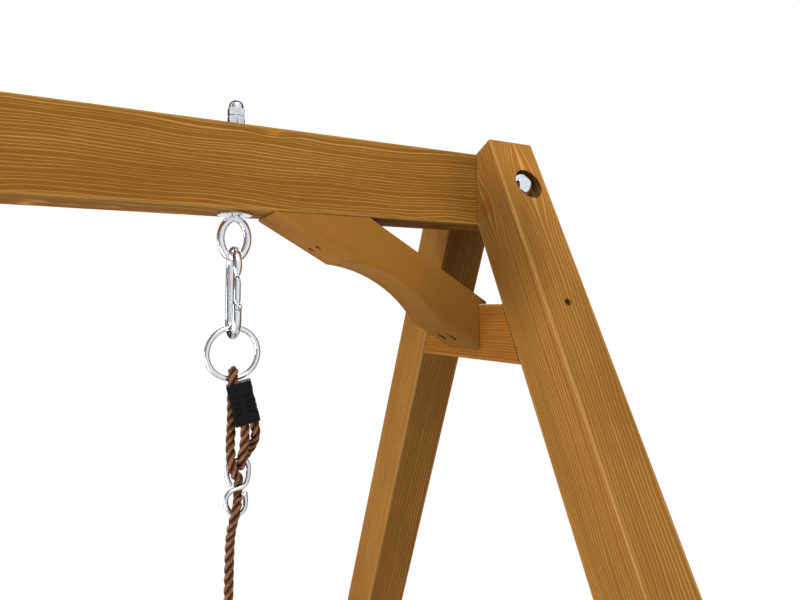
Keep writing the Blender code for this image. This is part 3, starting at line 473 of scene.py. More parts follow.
def growth_rings(graph, v_ring, w_ring, pith, spacing):
    """How far each year's growth has come, and how much of the dark late wood shows."""
    heart = graph.vector("SUBTRACT", graph.join(0.0, v_ring, w_ring), (0, *pith))
    radius_here = graph.math("DIVIDE", graph.vector("LENGTH", heart), spacing)
    uneven = graph.noise(graph.join(graph.math("MULTIPLY", radius_here, 0.37), 0.0, 0.0),
                         1.0, 1.0)
    ring = graph.math("ADD", radius_here, graph.math("MULTIPLY", uneven, 2.2))
    year = graph.math("FRACT", ring)
    rise = graph.ramp(year, 0.50, 0.87)
    fall = graph.ramp(year, 0.90, 1.0, 1.0, 0.0)
    late = graph.math("POWER", graph.math("MULTIPLY", rise, fall), 2.4)
    return year, late


def painted_shading(graph, w, painted_shade_faces, painted_light_and_shade_spots, bore):
    """Tones that multiply the colour: painted shade on faces and in a bore, and spots of
    mostly painted shade and light.
    """
    shades = [graph.ramp(w, start, stop, 1.0, tone) for start, stop, tone in painted_shade_faces]
    for spot, inner, outer, tone in painted_light_and_shade_spots:
        away = graph.vector("LENGTH", graph.vector("SUBTRACT", graph.coordinates(), spot))
        shades.append(graph.ramp(away, inner, outer, tone, 1.0))
    if bore:
        from_axis = graph.vector("SUBTRACT", graph.coordinates(), (bore[0], 0, bore[1]))
        from_axis = graph.vector("LENGTH", graph.vector("MULTIPLY", from_axis, (1, 0, 1)))
        shades.append(graph.ramp(from_axis, bore[2], bore[2] + 0.0004, 0.34, 1.0))
    return shades


def worn_edges(graph, v, w, size, fibres):
    """Pale wear along the long edges, broken up by the fibres."""
    half_v, half_w = size[0] / 2, size[1] / 2
    edge_v = graph.ramp(graph.math("ABSOLUTE", v), half_v - 0.0045, half_v - 0.001)
    edge_w = graph.ramp(graph.math("ABSOLUTE", w), half_w - 0.0045, half_w - 0.001)
    edge = graph.math("MULTIPLY", edge_v, edge_w)
    return graph.math("MULTIPLY", edge, graph.ramp(fibres, 0.3, 0.6, 0.05, 0.4))


def timber(name, centre, along, across, size, pith, spacing, base=(151, 99, 30),
           line=(204, 154, 74), drift=0.007, line_strength=0.75, knots=(), painted_shade_faces=(),
           painted_light_and_shade_spots=(), bore=None):
    """Stained softwood whose growth rings run along one direction of the timber.

    along and across are directions, size is the section across and through, and pith is
    where the heart of the tree lies in that section. A knot is (along, across, through,
    radius). The shaded faces are (from, to, tone) of painted shade across the thickness,
    the spots are (place, inner, outer, tone) that darken the colour with a tone under one
    and lighten it with a tone over one, and bore is (x, z, radius) of a hole whose inside
    gets painted shade.
    """
    graph = Graph(name)
    along = Vector(along).normalized()
    across = Vector(across).normalized()
    through = along.cross(across)
    place = graph.vector("SUBTRACT", graph.coordinates(), tuple(centre))
    u, v, w = (graph.vector("DOT_PRODUCT", place, tuple(axis))
               for axis in (along, across, through))
    slow = stretched(graph, (u, v, w), 3.2, 9.0)
    sway = graph.math("SUBTRACT", graph.noise(slow, 1.0, 2.5), 0.5)
    shifted = graph.vector("ADD", slow, (7.3, 2.1, 5.9))
    tilt = graph.math("SUBTRACT", graph.noise(shifted, 1.0, 2.5), 0.5)
    v_ring = graph.math("ADD", v, graph.math("MULTIPLY", sway, drift * 2))
    w_ring = graph.math("ADD", w, graph.math("MULTIPLY", tilt, drift * 2))
    v_ring, w_ring, dark = knot_marks(graph, knots, (u, v, w), (v_ring, w_ring), sway)
    year, late = growth_rings(graph, v_ring, w_ring, pith, spacing)
    fibres = graph.noise(stretched(graph, (u, v_ring, w_ring), 14.0, 900.0), 1.0, 3.0, 0.6)
    flecks = graph.noise(stretched(graph, (u, v, w), 60.0, 1900.0), 1.0, 1.0)
    cloud = graph.noise(stretched(graph, (u, v, w), 5.0, 24.0), 1.0, 2.0)

    strength = graph.math("MULTIPLY", graph.ramp(cloud, 0.25, 0.75, 0.55, 1.0), line_strength)
    colour = graph.blend(graph.math("MULTIPLY", late, strength), linear(*base), linear(*line))
    darker = tuple(c * 0.80 for c in linear(*base)[:3]) + (1.0,)
    darkest = tuple(c * 0.70 for c in linear(*base)[:3]) + (1.0,)
    early = graph.math("MULTIPLY", graph.ramp(year, 0.0, 0.25, 1.0, 0.0), 0.35)
    colour = graph.blend(early, colour, darker)
    colour = graph.blend(graph.ramp(fibres, 0.25, 0.75, 0.0, 0.34), colour, darkest)
    colour = graph.blend(graph.ramp(flecks, 0.60, 0.80, 0.0, 0.22), colour, linear(*line))
    tone = graph.ramp(cloud, 0.2, 0.8, 0.92, 1.08)
    colour = graph.blend(1.0, colour, graph.join(tone, tone, tone), "MULTIPLY")
    if dark is not None:
        colour = graph.blend(graph.math("MULTIPLY", dark, 0.6), colour, linear(150, 76, 24))
    # painted shade on faces, in spots and in the bore, and a few lighter spots
    for shade in painted_shading(graph, w, painted_shade_faces, painted_light_and_shade_spots, bore):
        colour = graph.blend(1.0, colour, graph.join(shade, shade, shade), "MULTIPLY")
    colour = graph.blend(worn_edges(graph, v, w, size, fibres), colour, linear(*line))

    height = graph.math("ADD", graph.math("MULTIPLY", late, 0.5),
                        graph.math("MULTIPLY", fibres, 0.8))
    graph.bump(height, 0.00025, 0.7)
    roughness = graph.ramp(fibres, 0.2, 0.8, 0.66, 0.80)
    graph.shader.inputs["Specular IOR Level"].default_value = 0.07
    return graph.finish(base_color=colour, roughness=roughness, metallic=0.0)


def zinc(name, tone=(237, 242, 248), roughness=0.13, waviness=0.35):
    """Bright zinc plating with faint drawing marks and a slightly cloudy passivation."""
    graph = Graph(name)
    place = graph.coordinates()
    cloud = graph.noise(place, 160.0, 3.0)
    fine = graph.noise(place, 1400.0, 2.0)
    pits = graph.noise(place, 520.0, 2.0)
    colour = graph.blend(graph.ramp(cloud, 0.3, 0.7, 0.0, 0.5), linear(*tone),
                         linear(*(c - 12 for c in tone)))
    colour = graph.blend(graph.ramp(pits, 0.66, 0.74, 0.0, 0.15), colour,
                         linear(176, 170, 160))
    rough = graph.math("ADD", graph.ramp(cloud, 0.3, 0.7, roughness - 0.05, roughness + 0.08),
                       graph.ramp(fine, 0.4, 0.8, 0.0, 0.06))
    graph.bump(graph.math("ADD", cloud, graph.math("MULTIPLY", fine, 0.35)),
               0.00012 * waviness, 0.5)
    return graph.finish(base_color=colour, roughness=rough, metallic=1.0)


def black_plastic():
    """Injection-moulded black plastic with a fine texture and faint grey scuffs."""
    graph = Graph("black_moulded_plastic")
    place = graph.coordinates()
    grain = graph.noise(place, 2200.0, 2.0)
    scuffs = graph.noise(place, 260.0, 4.0, 0.7)
    colour = graph.blend(graph.ramp(scuffs, 0.5, 0.75, 0.0, 0.6), linear(6, 6, 8),
                         linear(20, 20, 22))
    graph.bump(grain, 0.0001, 0.5)
    graph.shader.inputs["Specular IOR Level"].default_value = 0.16
    return graph.finish(base_color=colour, roughness=graph.ramp(scuffs, 0.3, 0.7, 0.34, 0.5),
                        metallic=0.0)


def laid_rope():
    """Brown laid rope: shiny yarns that wind along each strand, with painted shade in the
    hollows between the strands and a painted highlight on the strands' tops.
    """
    graph = Graph("brown_laid_rope")
    split = graph.nodes.new("ShaderNodeSeparateXYZ")
    graph.links.new(graph.coordinates("UV"), split.inputs[0])
    turn, run = split.outputs[0], split.outputs[1]
    place = graph.coordinates()
    winding = graph.math("SUBTRACT", graph.math("MULTIPLY", turn, 9.0),
                         graph.math("MULTIPLY", run, 420.0))
    uneven = graph.noise(place, 420.0, 2.0)
    winding = graph.math("ADD", winding, graph.math("MULTIPLY", uneven, 0.8))
    yarn = graph.math("ABSOLUTE", graph.math("SINE", graph.math("MULTIPLY", winding, math.pi)))
    fuzz = graph.noise(place, 2600.0, 3.0, 0.7)
    patch = graph.noise(place, 130.0, 2.0)
    colour = graph.blend(graph.ramp(yarn, 0.1, 0.8), linear(62, 31, 12), linear(124, 75, 42))
    colour = graph.blend(graph.ramp(patch, 0.35, 0.7, 0.0, 0.6), colour, linear(92, 48, 20))
    rise = graph.nodes.new("ShaderNodeAttribute")
    rise.attribute_name = "rise"
    # painted highlight on the strands' tops, where they stand out furthest
    painted_highlight = graph.math("MULTIPLY", graph.ramp(rise.outputs["Fac"], 0.90, 1.0, 0.0, 0.75),
                       graph.ramp(uneven, 0.35, 0.65, 0.2, 1.0))
    colour = graph.blend(painted_highlight, colour, linear(186, 136, 90))
    colour = graph.blend(graph.ramp(fuzz, 0.60, 0.76, 0.0, 0.6), colour, linear(190, 144, 100))
    # painted shade in the hollows between the strands
    painted_hollow_shade = graph.ramp(rise.outputs["Fac"], 0.70, 0.96, 0.95, 0.0)
    colour = graph.blend(painted_hollow_shade, colour, linear(26, 9, 2))
    height = graph.math("ADD", yarn, graph.math("MULTIPLY", fuzz, 0.5))
    graph.bump(height, 0.0006, 0.9)
    graph.shader.inputs["Specular IOR Level"].default_value = 0.25
    return graph.finish(base_color=colour, roughness=graph.ramp(fuzz, 0.3, 0.8, 0.42, 0.7))


# ---- camera, floor and light ------------------------------------------------------------
def make_camera():
    yaw, pitch, roll = (math.radians(angle) for angle in CAMERA_ANGLES)
    forward = Vector((math.sin(yaw) * math.cos(pitch), math.cos(yaw) * math.cos(pitch),
                      math.sin(pitch)))
    level = Vector((math.cos(yaw), -math.sin(yaw), 0))
    upright = level.cross(forward)
    right = level * math.cos(roll) + upright * math.sin(roll)
    up = upright * math.cos(roll) - level * math.sin(roll)
    lens = bpy.data.cameras.new("camera")
    lens.sensor_width = 36
    lens.lens = CAMERA_LENS
    lens.shift_y = CAMERA_SHIFT
    lens.clip_start = 0.02
    camera = bpy.data.objects.new("camera", lens)
    bpy.context.scene.collection.objects.link(camera)
    axes = Matrix((right, up, -forward)).transposed().to_4x4()
    camera.matrix_world = Matrix.Translation(CAMERA_PLACE) @ axes
    bpy.context.scene.camera = camera


def area_light(name, place, target, size, power, spread=180):
    data = bpy.data.lights.new(name, "AREA")
    data.shape = "RECTANGLE"
    data.size, data.size_y = size
    data.energy = power
    data.spread = math.radians(spread)
    light = bpy.data.objects.new(name, data)
    bpy.context.scene.collection.objects.link(light)
    light.location = place
    light.visible_camera = False
    light.rotation_euler = (Vector(target) - Vector(place)).to_track_quat("-Z", "Y").to_euler()


def make_floor():
    floor_mesh = bpy.data.meshes.new("studio_floor")
    bm = bmesh.new()
    bmesh.ops.create_circle(bm, cap_ends=True, segments=96, radius=FLOOR_RADIUS)
    bm.to_mesh(floor_mesh)
    bm.free()
    floor = bpy.data.objects.new("studio_floor", floor_mesh)
    bpy.context.scene.collection.objects.link(floor)
    floor.location.z = -FLOOR_DROP
    graph = Graph("pale_floor")
    floor_mesh.materials.append(graph.finish(base_color=(0.86, 0.86, 0.85, 1), roughness=0.8))


def world_flags(nodes, links, direction):
    """White surroundings with dark flags that draw the outlines of the bright metal."""
    azimuth = nodes.new("ShaderNodeMath")
    azimuth.operation = "ARCTAN2"
    links.new(direction.outputs["Y"], azimuth.inputs[0])
    links.new(direction.outputs["X"], azimuth.inputs[1])
    turn = nodes.new("ShaderNodeMapRange")
    turn.inputs["From Min"].default_value = -math.pi
    turn.inputs["From Max"].default_value = math.pi
    links.new(azimuth.outputs[0], turn.inputs["Value"])
    flags = nodes.new("ShaderNodeValToRGB")
    flags.color_ramp.interpolation = "EASE"
    links.new(turn.outputs["Result"], flags.inputs["Fac"])
    stops = flags.color_ramp.elements
    stops[0].color = stops[1].color = (1, 1, 1, 1)
    for place, shade in FLAG_STOPS:
        stops.new(place).color = (shade, shade, shade, 1)
    overhead = nodes.new("ShaderNodeMapRange")
    for key, number in (("From Min", 0.90), ("From Max", 0.95), ("To Min", 0.86),
                        ("To Max", 0.08)):
        overhead.inputs[key].default_value = number
    links.new(direction.outputs["Z"], overhead.inputs["Value"])
    reflected = nodes.new("ShaderNodeBackground")
    links.new(flags.outputs["Color"], reflected.inputs["Color"])
    links.new(overhead.outputs["Result"], reflected.inputs["Strength"])
    return reflected


def make_world():
    """Plain pale light, white to the camera, and the flags in reflections only."""
    world = bpy.data.worlds.new("studio_world")
    bpy.context.scene.world = world
    world.use_nodes = True
    nodes, links = world.node_tree.nodes, world.node_tree.links
    background = nodes["Background"]
    background.inputs["Color"].default_value = (0.9, 0.9, 0.9, 1)
    background.inputs["Strength"].default_value = 0.58
    direction = nodes.new("ShaderNodeSeparateXYZ")
    links.new(nodes.new("ShaderNodeTexCoord").outputs["Generated"], direction.inputs[0])
    reflected = world_flags(nodes, links, direction)
    seen = nodes.new("ShaderNodeBackground")
    seen.inputs["Color"].default_value = (1, 1, 1, 1)
    seen.inputs["Strength"].default_value = 1.0
    rays = nodes.new("ShaderNodeLightPath")
    lit = nodes.new("ShaderNodeMixShader")
    links.new(rays.outputs["Is Glossy Ray"], lit.inputs[0])
    links.new(background.outputs[0], lit.inputs[1])
    links.new(reflected.outputs[0], lit.inputs[2])
    mix = nodes.new("ShaderNodeMixShader")
    links.new(rays.outputs["Is Camera Ray"], mix.inputs[0])
    links.new(lit.outputs[0], mix.inputs[1])
    links.new(seen.outputs[0], mix.inputs[2])
    links.new(mix.outputs[0], nodes["World Output"].inputs["Surface"])


def make_studio():
    """Pale round floor, white surroundings and three soft lights."""
    make_floor()
    make_world()
    area_light("key_light", (0.0, -1.8, 4.0), (0.3, 0, 1.7), (1.4, 1.4), 60)
    area_light("low_left_light", (-1.5, -0.5, 0.55), (0.4, 0, 1.75), (1.0, 1.2), 5.4, 70)
    area_light("back_left_light", (-1.6, 0.9, 1.25), (0.5, 0.1, 1.6), (1.0, 1.0), 1.7, 70)
    bpy.context.scene.view_settings.view_transform = "Standard"


make_camera()
make_studio()

# ---- rope -------------------------------------------------------------------------------
rope_finish = laid_rope()
plating = zinc("bright_zinc")
dull_plating = zinc("adjuster_zinc", (232, 236, 240), 0.22)
# dark steel for the gate's latch: painted shade and dark reflection at the gate's tip
painted_shade_steel = zinc("painted_shade_latch_steel", (70, 68, 66), 0.45)
plastic = black_plastic()


def rope_path(side):
    """Middle line from the end inside the rope clamp, round the seat, to the seat clamp."""
    origin = hanger(side)
    seat = Vector((origin.x, 0, SEAT_HEIGHT))
    route = [origin + Vector(point) * MM for point in ROPE_ROUTE]
    route += [seat + Vector(point) * MM for point in SEAT_ROUTE]
    return smooth_route(route, ROPE_STEP)


def make_rope(side):
    """Three strands laid round the rope's middle line."""
    path = rope_path(side)
    run = distances_along(path)
    _, normals, binormals = carried_frames(path)
    strands = []
    for number in range(3):
        angle = math.tau * (run / LAY_LENGTH + number / 3)
        centre = path + STRAND_OFFSET * (np.cos(angle)[:, None] * normals
                                         + np.sin(angle)[:, None] * binormals)
        strands.append((centre, STRAND_RADIUS))
    mesh = tube_mesh(f"laid_rope_{side}", strands, STRAND_SIDES)
    # rise: how far each point stands out from the rope's middle line; the rope's finish paints
    # shade and highlight from it
    places = np.zeros(len(mesh.vertices) * 3)
    mesh.vertices.foreach_get("co", places)
    places = places.reshape(3, len(path), STRAND_SIDES, 3)
    height = np.linalg.norm(places - path[None, :, None], axis=3)
    rise = mesh.attributes.new("rise", "FLOAT", "POINT")
    rise.data.foreach_set("value", (height / (STRAND_RADIUS + STRAND_OFFSET)).ravel())
    rope = piece(f"laid_rope_{side}", mesh, rope_finish, "swing", [f"rope_{side}"])


# ---- hanger hardware --------------------------------------------------------------------
def make_wire(name, route, side, radius, material, body, stands_for, sides=20, ease=0.0012):
    origin = hanger(side)
    path = smooth_route([origin + Vector(point) * MM for point in route], WIRE_STEP)
    mesh = tube_mesh(name, [(path, rounded_ends(path, radius, ease))], sides)
    mesh.set_sharp_from_angle(angle=WIRE_SHARP_ANGLE)
    return piece(name, mesh, material, body, stands_for)


def make_ring(side):
    origin = hanger(side)
    angles = np.linspace(0, math.tau, 120, endpoint=False)
    path = np.stack([origin.x + RING_RADIUS * np.cos(angles), 0 * angles,
                     origin.z - RING_DROP + RING_RADIUS * np.sin(angles)], axis=1)
    mesh = tube_mesh(f"ring_wire_{side}", [(path, RING_WIRE_RADIUS)], 18, cyclic=True)
    piece(f"ring_wire_{side}", mesh, plating, f"ring_{side}", [f"ring_{side}"])


def hook_outline():
    """Hook wire as Y and Z, from its nose over the top and round to the gate's fork."""
    top_z, top_rise = HOOK_TOP
    foot_z, foot_rise = HOOK_FOOT
    top = [(HOOK_HALF_WIDTH * math.cos(a), top_z + top_rise * math.sin(a))
           for a in np.linspace(math.pi, 0, 41)]
    foot = [(HOOK_HALF_WIDTH * math.cos(a), foot_z + foot_rise * math.sin(a))
            for a in np.linspace(0, -math.pi, 41)]
    return ([(-HOOK_HALF_WIDTH, HOOK_NOSE_Z)] + top + foot
            + [(-HOOK_HALF_WIDTH, FORK_TOP_Z)])


def apply_cut(obj, cutter_mesh, operation="DIFFERENCE"):
    """Boolean of a mesh into the object, baked at once."""
    cutter = bpy.data.objects.new("cutter", cutter_mesh)
    bpy.context.scene.collection.objects.link(cutter)
    modifier = obj.modifiers.new("cut", "BOOLEAN")
    modifier.operation = operation
    modifier.solver = "EXACT"
    modifier.object = cutter
    bpy.context.view_layer.update()
    depsgraph = bpy.context.evaluated_depsgraph_get()
    mesh = bpy.data.meshes.new_from_object(obj.evaluated_get(depsgraph))
    obj.modifiers.remove(modifier)
    obj.data = mesh
    bpy.data.objects.remove(cutter, do_unlink=True)


def block_mesh(name, low, high, bevel=0.0, segments=2):
    bm = bmesh.new()
    bmesh.ops.create_cube(bm, size=1)
    size = Vector(high) - Vector(low)
    bmesh.ops.scale(bm, vec=size, verts=bm.verts)
    bmesh.ops.translate(bm, vec=(Vector(high) + Vector(low)) / 2, verts=bm.verts)
    if bevel:
        bmesh.ops.bevel(bm, geom=list(bm.edges), offset=bevel, segments=segments,
                        profile=0.5, affect="EDGES")
    mesh = bpy.data.meshes.new(name)
    bm.to_mesh(mesh)
    bm.free()
    return mesh


def make_hook(side):
    """Hook wire with a fork cut in its end, and the gate with its latch and rivet."""
    origin = hanger(side)
    path = smooth_route([origin + Vector((0, y, z)) for y, z in hook_outline()], HOOK_STEP)
    nose = np.interp(distances_along(path), (0, HOOK_NOSE_TAPER),
                     (HOOK_NOSE_RADIUS, HOOK_WIRE_RADIUS))
    radii = np.minimum(rounded_ends(path, HOOK_WIRE_RADIUS, 0.0012), nose)
    mesh = tube_mesh(f"hook_wire_{side}", [(path, radii)], 22)
    hook = piece(f"hook_wire_{side}", mesh, plating, f"hook_{side}",
                 [f"snap_hook_{side}"])
    pin = origin + Vector((0, -HOOK_HALF_WIDTH, PIN_Z))
    slot = placed(block_mesh("slot", (-0.003, -0.008, -0.005), (0.003, 0.008, 0.008)),
                  Matrix.Translation(pin))
    apply_cut(hook, slot)
    hook.data.shade_smooth()
    hook.data.set_sharp_from_angle(angle=WIRE_SHARP_ANGLE)
    # the dark latch paints the shade and dark reflection at the gate's tip
    latch = placed(lathe_mesh("latch", [(0.0, 0.0338), (0.0022, 0.0338), (0.0022, 0.0316),
                                        (0.0, 0.0316)], 24), Matrix.Translation(pin))
    piece(f"gate_latch_{side}", latch, painted_shade_steel, f"gate_{side}")
    profile = [(0.0, 0.0318), (0.0025, 0.0318), (0.0030, 0.0312), (0.0038, 0.0258),
               (0.0038, 0.0064), (0.0036, 0.0058), (0.0028, 0.0048), (0.0026, 0.0044),
               (0.0026, -0.0036), (0.0016, -0.0044), (0.0, -0.0044)]
    gate = placed(lathe_mesh(f"gate_rod_{side}", profile, 40), Matrix.Translation(pin))
    piece(f"gate_rod_{side}", gate, plating, f"gate_{side}",
          [f"hook_gate_{side}"])
    head = placed(lathe_mesh(f"gate_rivet_{side}",
                             [(0.0, 0.0056), (0.0011, 0.0055), (0.0019, 0.0050),
                              (0.0019, -0.0050), (0.0011, -0.0055), (0.0, -0.0056)], 24),
                  Matrix.Translation(pin) @ Matrix.Rotation(math.pi / 2, 4, "Y"))
    piece(f"gate_rivet_{side}", head, plating, f"hook_{side}",
          [f"gate_pin_{side}"])


def make_fixings(side):
    """Washers, flanged nut and domed cap nut on the eye bolt."""
    origin = hanger(side)
    under = [(WASHER_BORE, 0.0), (0.0188, 0.0), (0.0193, 0.0005), (0.0193, 0.0020),
             (0.0188, WASHER_THICKNESS), (WASHER_BORE, WASHER_THICKNESS)][::-1]
    seat = origin - Vector((0, 0, WASHER_THICKNESS + GAP))
    piece(f"penny_washer_{side}", placed(lathe_mesh(f"penny_washer_{side}", under, 64),
                                         Matrix.Translation(seat)),
          plating, "frame", [f"eye_washer_{side}"])
    top = origin + Vector((0, 0, BEAM_HEIGHT + GAP))
    upper = [(WASHER_BORE, 0.0), (0.0146, 0.0), (0.0150, 0.0005), (0.0150, 0.0019),
             (0.0145, WASHER_THICKNESS), (WASHER_BORE, WASHER_THICKNESS)][::-1]
    piece(f"upper_washer_{side}", placed(lathe_mesh(f"upper_washer_{side}", upper, 56),
                                         Matrix.Translation(top)),
          plating, "frame", [f"nut_washer_{side}"])
    nut_seat = top + Vector((0, 0, WASHER_THICKNESS + GAP))
    nut = hex_nut_mesh(f"flanged_nut_{side}", NUT_FLATS, LOCK_NUT_HEIGHT, NUT_BORE, 0.005)
    piece(f"flanged_nut_{side}", placed(nut, Matrix.Translation(nut_seat)), plating,
          "frame", [f"lock_nut_{side}"])
    cap_seat = nut_seat + Vector((0, 0, LOCK_NUT_HEIGHT + GAP))
    cap = hex_nut_mesh(f"cap_hex_{side}", NUT_FLATS, CAP_HEX_HEIGHT, NUT_BORE)
    piece(f"cap_hex_{side}", placed(cap, Matrix.Translation(cap_seat)), plating,
          "frame", [f"cap_nut_{side}"])
    dome = [(0.0, DOME_CENTRE + DOME_RADIUS)]
    dome += [(DOME_RADIUS * math.sin(a), DOME_CENTRE + DOME_RADIUS * math.cos(a))
             for a in np.linspace(0.15, math.pi / 2, 12)]
    dome += [(DOME_RADIUS, 0.0085), (0.0, 0.0085)]
    piece(f"cap_dome_{side}", placed(lathe_mesh(f"cap_dome_{side}", dome, 48),
                                     Matrix.Translation(cap_seat)),
          plating, "frame")


def make_frame_bolt(side):
    """Hex head in front, and the nut with the thread's end behind."""
    x = SIDES[side] * (HALF_SPAN + BOLT_OFFSET)
    seat = COUNTERBORE_FLOOR + GAP + WASHER_THICKNESS + GAP
    turned = Matrix.Rotation(math.pi / 2, 4, "X")
    head = hex_nut_mesh(f"bolt_head_{side}", BOLT_FLATS, BOLT_HEAD_HEIGHT, 0.0001)
    piece(f"bolt_head_{side}", placed(head, Matrix.Translation((x, -seat, BOLT_Z)) @ turned),
          plating, "frame", [f"frame_bolt_{side}"])
    nut = hex_nut_mesh(f"bolt_nut_{side}", BOLT_FLATS, BOLT_NUT_HEIGHT, 0.0055)
    nut_place = Matrix.Translation((x, seat + BOLT_NUT_HEIGHT, BOLT_Z))
    piece(f"bolt_nut_{side}", placed(nut, nut_place @ turned), plating, "frame",
          [f"frame_nut_{side}"])
    threads = []
    for step in range(7):
        low = seat + 0.0005 + step * THREAD_PITCH
        threads += [(0.0060, low), (0.0052, low + 0.0009)]
    profile = [(0.0, seat + 0.0128), (0.0048, seat + 0.0128)]
    profile += threads[::-1] + [(0.0, seat)]
    shank = lathe_mesh(f"bolt_thread_{side}", profile, 32)
    back = Matrix.Translation((x, 0, BOLT_Z)) @ Matrix.Rotation(-math.pi / 2, 4, "X")
    piece(f"bolt_thread_{side}", placed(shank, back), plating, "frame")


# ---- rope clamps ------------------------------------------------------------------------
def cut_bore(clamp, place, radius, top, bottom):
    bore = lathe_mesh("bore", [(0.0, top), (radius, top), (radius, bottom), (0.0, bottom)], 24)
    bore.transform(Matrix.Translation((*place, 0)))
    apply_cut(clamp, bore)


def cut_window(clamp, column, face, row):
    window = lathe_mesh("window", [(0.0, WINDOW_DEPTH), (WINDOW_RADIUS, WINDOW_DEPTH),
                                   (WINDOW_RADIUS, -WINDOW_DEPTH), (0.0, -WINDOW_DEPTH)], 24)
    window.transform(Matrix.Diagonal((1.0, WINDOW_SQUASH, 1.0, 1.0)))
    window.transform(Matrix.Rotation(math.pi / 2, 4, "X"))
    window.transform(Matrix.Translation((column, face, row)))
    apply_cut(clamp, window)


def make_rope_clamp(side):
    """Two ribbed halves with small windows, leaning with the rope's end loop."""
    lean = Matrix.Translation(hanger(side) + Vector(CLAMP_PLACE))
    lean = lean @ Matrix.Rotation(CLAMP_TILT, 4, "Y")
    lean = lean @ Matrix.Rotation(CLAMP_TURN, 4, "Z")
    for half, low_y, high_y in (("front", -CLAMP_HALF_DEPTH, -CLAMP_SPLIT),
                                ("back", CLAMP_SPLIT, CLAMP_HALF_DEPTH)):
        body = block_mesh(f"clamp_{half}_{side}", (-CLAMP_HALF_WIDTH, low_y, -CLAMP_HEIGHT),
                          (CLAMP_HALF_WIDTH, high_y, 0), PLASTIC_BEVEL)
        clamp = piece(f"clamp_{half}_{side}", body, plastic, "swing",
                      [f"rope_clamp_{half}_{side}"])
        for low_z, high_z in CLAMP_BANDS:
            band = block_mesh("band", (-CLAMP_BAND_HALF_WIDTH, low_y, low_z),
                              (CLAMP_BAND_HALF_WIDTH, high_y, high_z), BAND_BEVEL)
            apply_cut(clamp, band, "UNION")
        face = low_y if half == "front" else high_y
        for row in WINDOW_ROWS:
            for column in WINDOW_COLUMNS:
                cut_window(clamp, column, face, row)
        for x, top in CLAMP_BORES:
            cut_bore(clamp, (x, 0), CLAMP_BORE_RADIUS, top, CLAMP_BORE_FOOT)
        clamp.data.transform(lean)
        clamp.data.set_sharp_from_angle(angle=SMALL_SHARP_ANGLE)


def make_seat_clamp(side):
    """Ribbed block over the seat that holds both strands of the rope."""
    half_x, half_y, height = SEAT_CLAMP_SIZE
    body = block_mesh(f"seat_clamp_body_{side}", (-half_x, -half_y, 0),
                      (half_x, half_y, height), PLASTIC_BEVEL)
    clamp = piece(f"seat_clamp_body_{side}", body, plastic, "swing",
                  [f"seat_clamp_{side}"])
    band_x, band_y = SEAT_BAND_HALF_WIDTHS
    for low, high in SEAT_CLAMP_BANDS:
        band = block_mesh("band", (-band_x, -band_y, low), (band_x, band_y, high), BAND_BEVEL)
        apply_cut(clamp, band, "UNION")
    for y in (-SEAT_STRAND_Y, SEAT_STRAND_Y):
        cut_bore(clamp, (0, y), SEAT_CLAMP_BORE_RADIUS, *SEAT_CLAMP_BORE)
    rise = SEAT_HEIGHT + SEAT_CLAMP_RISE
    clamp.data.transform(Matrix.Translation((SIDES[side] * HANGER_X, 0, rise)))
    clamp.data.set_sharp_from_angle(angle=SMALL_SHARP_ANGLE)


for side_name in SIDES:
    make_rope(side_name)
    make_wire(f"eye_wire_{side_name}", [(x, 0, z) for x, z in EYE_ROUTE], side_name,
              EYE_WIRE_RADIUS, plating, "frame", [f"eye_bolt_{side_name}"], 22)
    make_ring(side_name)
    make_hook(side_name)
    make_fixings(side_name)
    make_frame_bolt(side_name)
    make_wire(f"adjuster_wire_{side_name}", ADJUSTER_ROUTE, side_name, ADJUSTER_WIRE_RADIUS,
              dull_plating, "swing", [f"rope_adjuster_{side_name}"], 16, 0.0006)
    make_rope_clamp(side_name)
    make_seat_clamp(side_name)

# ---- timber -----------------------------------------------------------------------------
def finish_node(node, material):
    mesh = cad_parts[node].data
    mesh.materials.clear()
    mesh.materials.append(material)


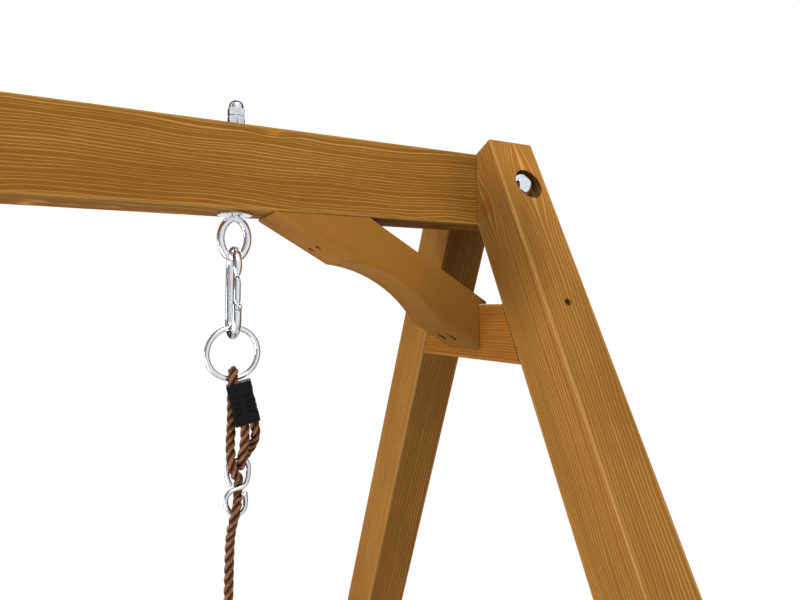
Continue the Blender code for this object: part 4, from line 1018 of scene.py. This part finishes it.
finish_node("top_beam", timber(
    "beam_timber", (0, 0, BOLT_Z), (1, 0, 0), (0, 1, 0), BEAM_SECTION,
    (0.03, -0.21), 0.0040, (140, 91, 28), (212, 162, 84), drift=0.019,
    knots=[(0.253, -0.035, 0.053, 0.006), (-0.31, 0.020, 0.047, 0.007)],
    # a lighter spot on the top edge over the knot, then painted shade at both ends where the
    # beam meets the legs
    painted_light_and_shade_spots=[((0.253, -0.035, 1.893), 0.003, 0.014, 1.35),
                ((0.535, -0.030, 1.850), 0.015, 0.105, 0.76),
                ((-0.535, -0.030, 1.850), 0.015, 0.105, 0.76)]))
finish_node("seat_board", timber(
    "seat_timber", (0, 0, SEAT_HEIGHT - SEAT_SECTION[1] / 2), (1, 0, 0), (0, 1, 0),
    SEAT_SECTION, (0.02, -0.12), 0.0060, drift=0.006))
for side_name, side_sign in SIDES.items():
    leg_x = side_sign * (HALF_SPAN + LEG_SECTION[0] / 2)
    # painted shade inside the frame bolt's counterbore
    painted_shade_bolt_bore = (side_sign * (HALF_SPAN + BOLT_OFFSET), BOLT_Z, PAINTED_SHADE_BORE_RADIUS)
    for end_name, end_sign in ENDS.items():
        down = Vector((0, end_sign * math.sin(LEG_SPLAY), -math.cos(LEG_SPLAY)))
        outward = Vector((0, end_sign * math.cos(LEG_SPLAY), math.sin(LEG_SPLAY)))
        head = Vector((leg_x, end_sign * LEG_INNER_Y, BEAM_UNDERSIDE))
        head += outward * LEG_SECTION[1] / 2
        knots = [(0.42, 0.030, -0.036, 0.006), (1.05, -0.035, 0.010, 0.008)]
        if end_name == "front":
            knots += [(-0.0102, -0.035 * side_sign, -0.0085, 0.0095),
                      (-0.0198, 0.0055 * side_sign, 0.036, 0.013)]
        finish_node(f"leg_{end_name}_{side_name}", timber(
            f"leg_timber_{end_name}_{side_name}", head, down, (1, 0, 0), LEG_SECTION,
            (0.085 * side_sign, 0.13), 0.0033, base=(152, 101, 38), line=(210, 162, 92),
            drift=0.010, line_strength=0.8, knots=knots, bore=painted_shade_bolt_bore,
            # painted shade on the back legs' inner face
            painted_shade_faces=[(0.0330, 0.0356, 0.70)] if end_name == "back" else [],
            # front legs: painted shade at the top of the inner side face under the beam, and a
            # painted highlight near the top of the outer face
            painted_light_and_shade_spots=[((side_sign * 0.488, end_sign * 0.075, 1.765), 0.05, 0.14, 0.62),
                        ((side_sign * 0.600, end_sign * 0.170, 1.880), 0.06, 0.19, 1.25)]
            if end_name == "front" else []))
    finish_node(f"crossbar_{side_name}", timber(
        f"crossbar_timber_{side_name}", (leg_x, 0, BEAM_UNDERSIDE - CROSSBAR_DROP), (0, 1, 0),
        (1, 0, 0), LEG_SECTION, (0.01, 0.13), 0.0034, base=(146, 90, 28),
        line=(196, 142, 72), drift=0.005, line_strength=0.8))
    run = Vector((side_sign * math.cos(BRACE_SLOPE), 0, -math.sin(BRACE_SLOPE)))
    grain_x, grain_drop = BRACE_GRAIN_CENTRE
    grain_centre = (side_sign * (HALF_SPAN - grain_x), 0, BEAM_UNDERSIDE - grain_drop)
    finish_node(f"knee_brace_{side_name}", timber(
        f"brace_timber_{side_name}", grain_centre, run, (0, 1, 0), BRACE_GRAIN_SECTION,
        (0.16, 0.01), 0.0085, base=(156, 105, 40), line=(182, 130, 60), drift=0.006,
        line_strength=0.45,
        # painted shade on the brace towards the leg
        painted_light_and_shade_spots=[((side_sign * 0.54, -0.03, 1.65), 0.04, 0.22, 0.66)]))

node_finishes = {"screw": plating, "washer": plating, "nut": plating, "bolt": plating,
                 "pin": plating, "ring": plating, "hook": plating, "gate": plating,
                 "adjuster": dull_plating, "clamp": plastic, "rope": rope_finish}
for node_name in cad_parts:
    if node_name.startswith(("leg_", "top_beam", "seat_board", "crossbar_left",
                             "crossbar_right", "knee_brace")):
        continue
    for word, finish in node_finishes.items():
        if word in node_name:
            finish_node(node_name, finish)
            break
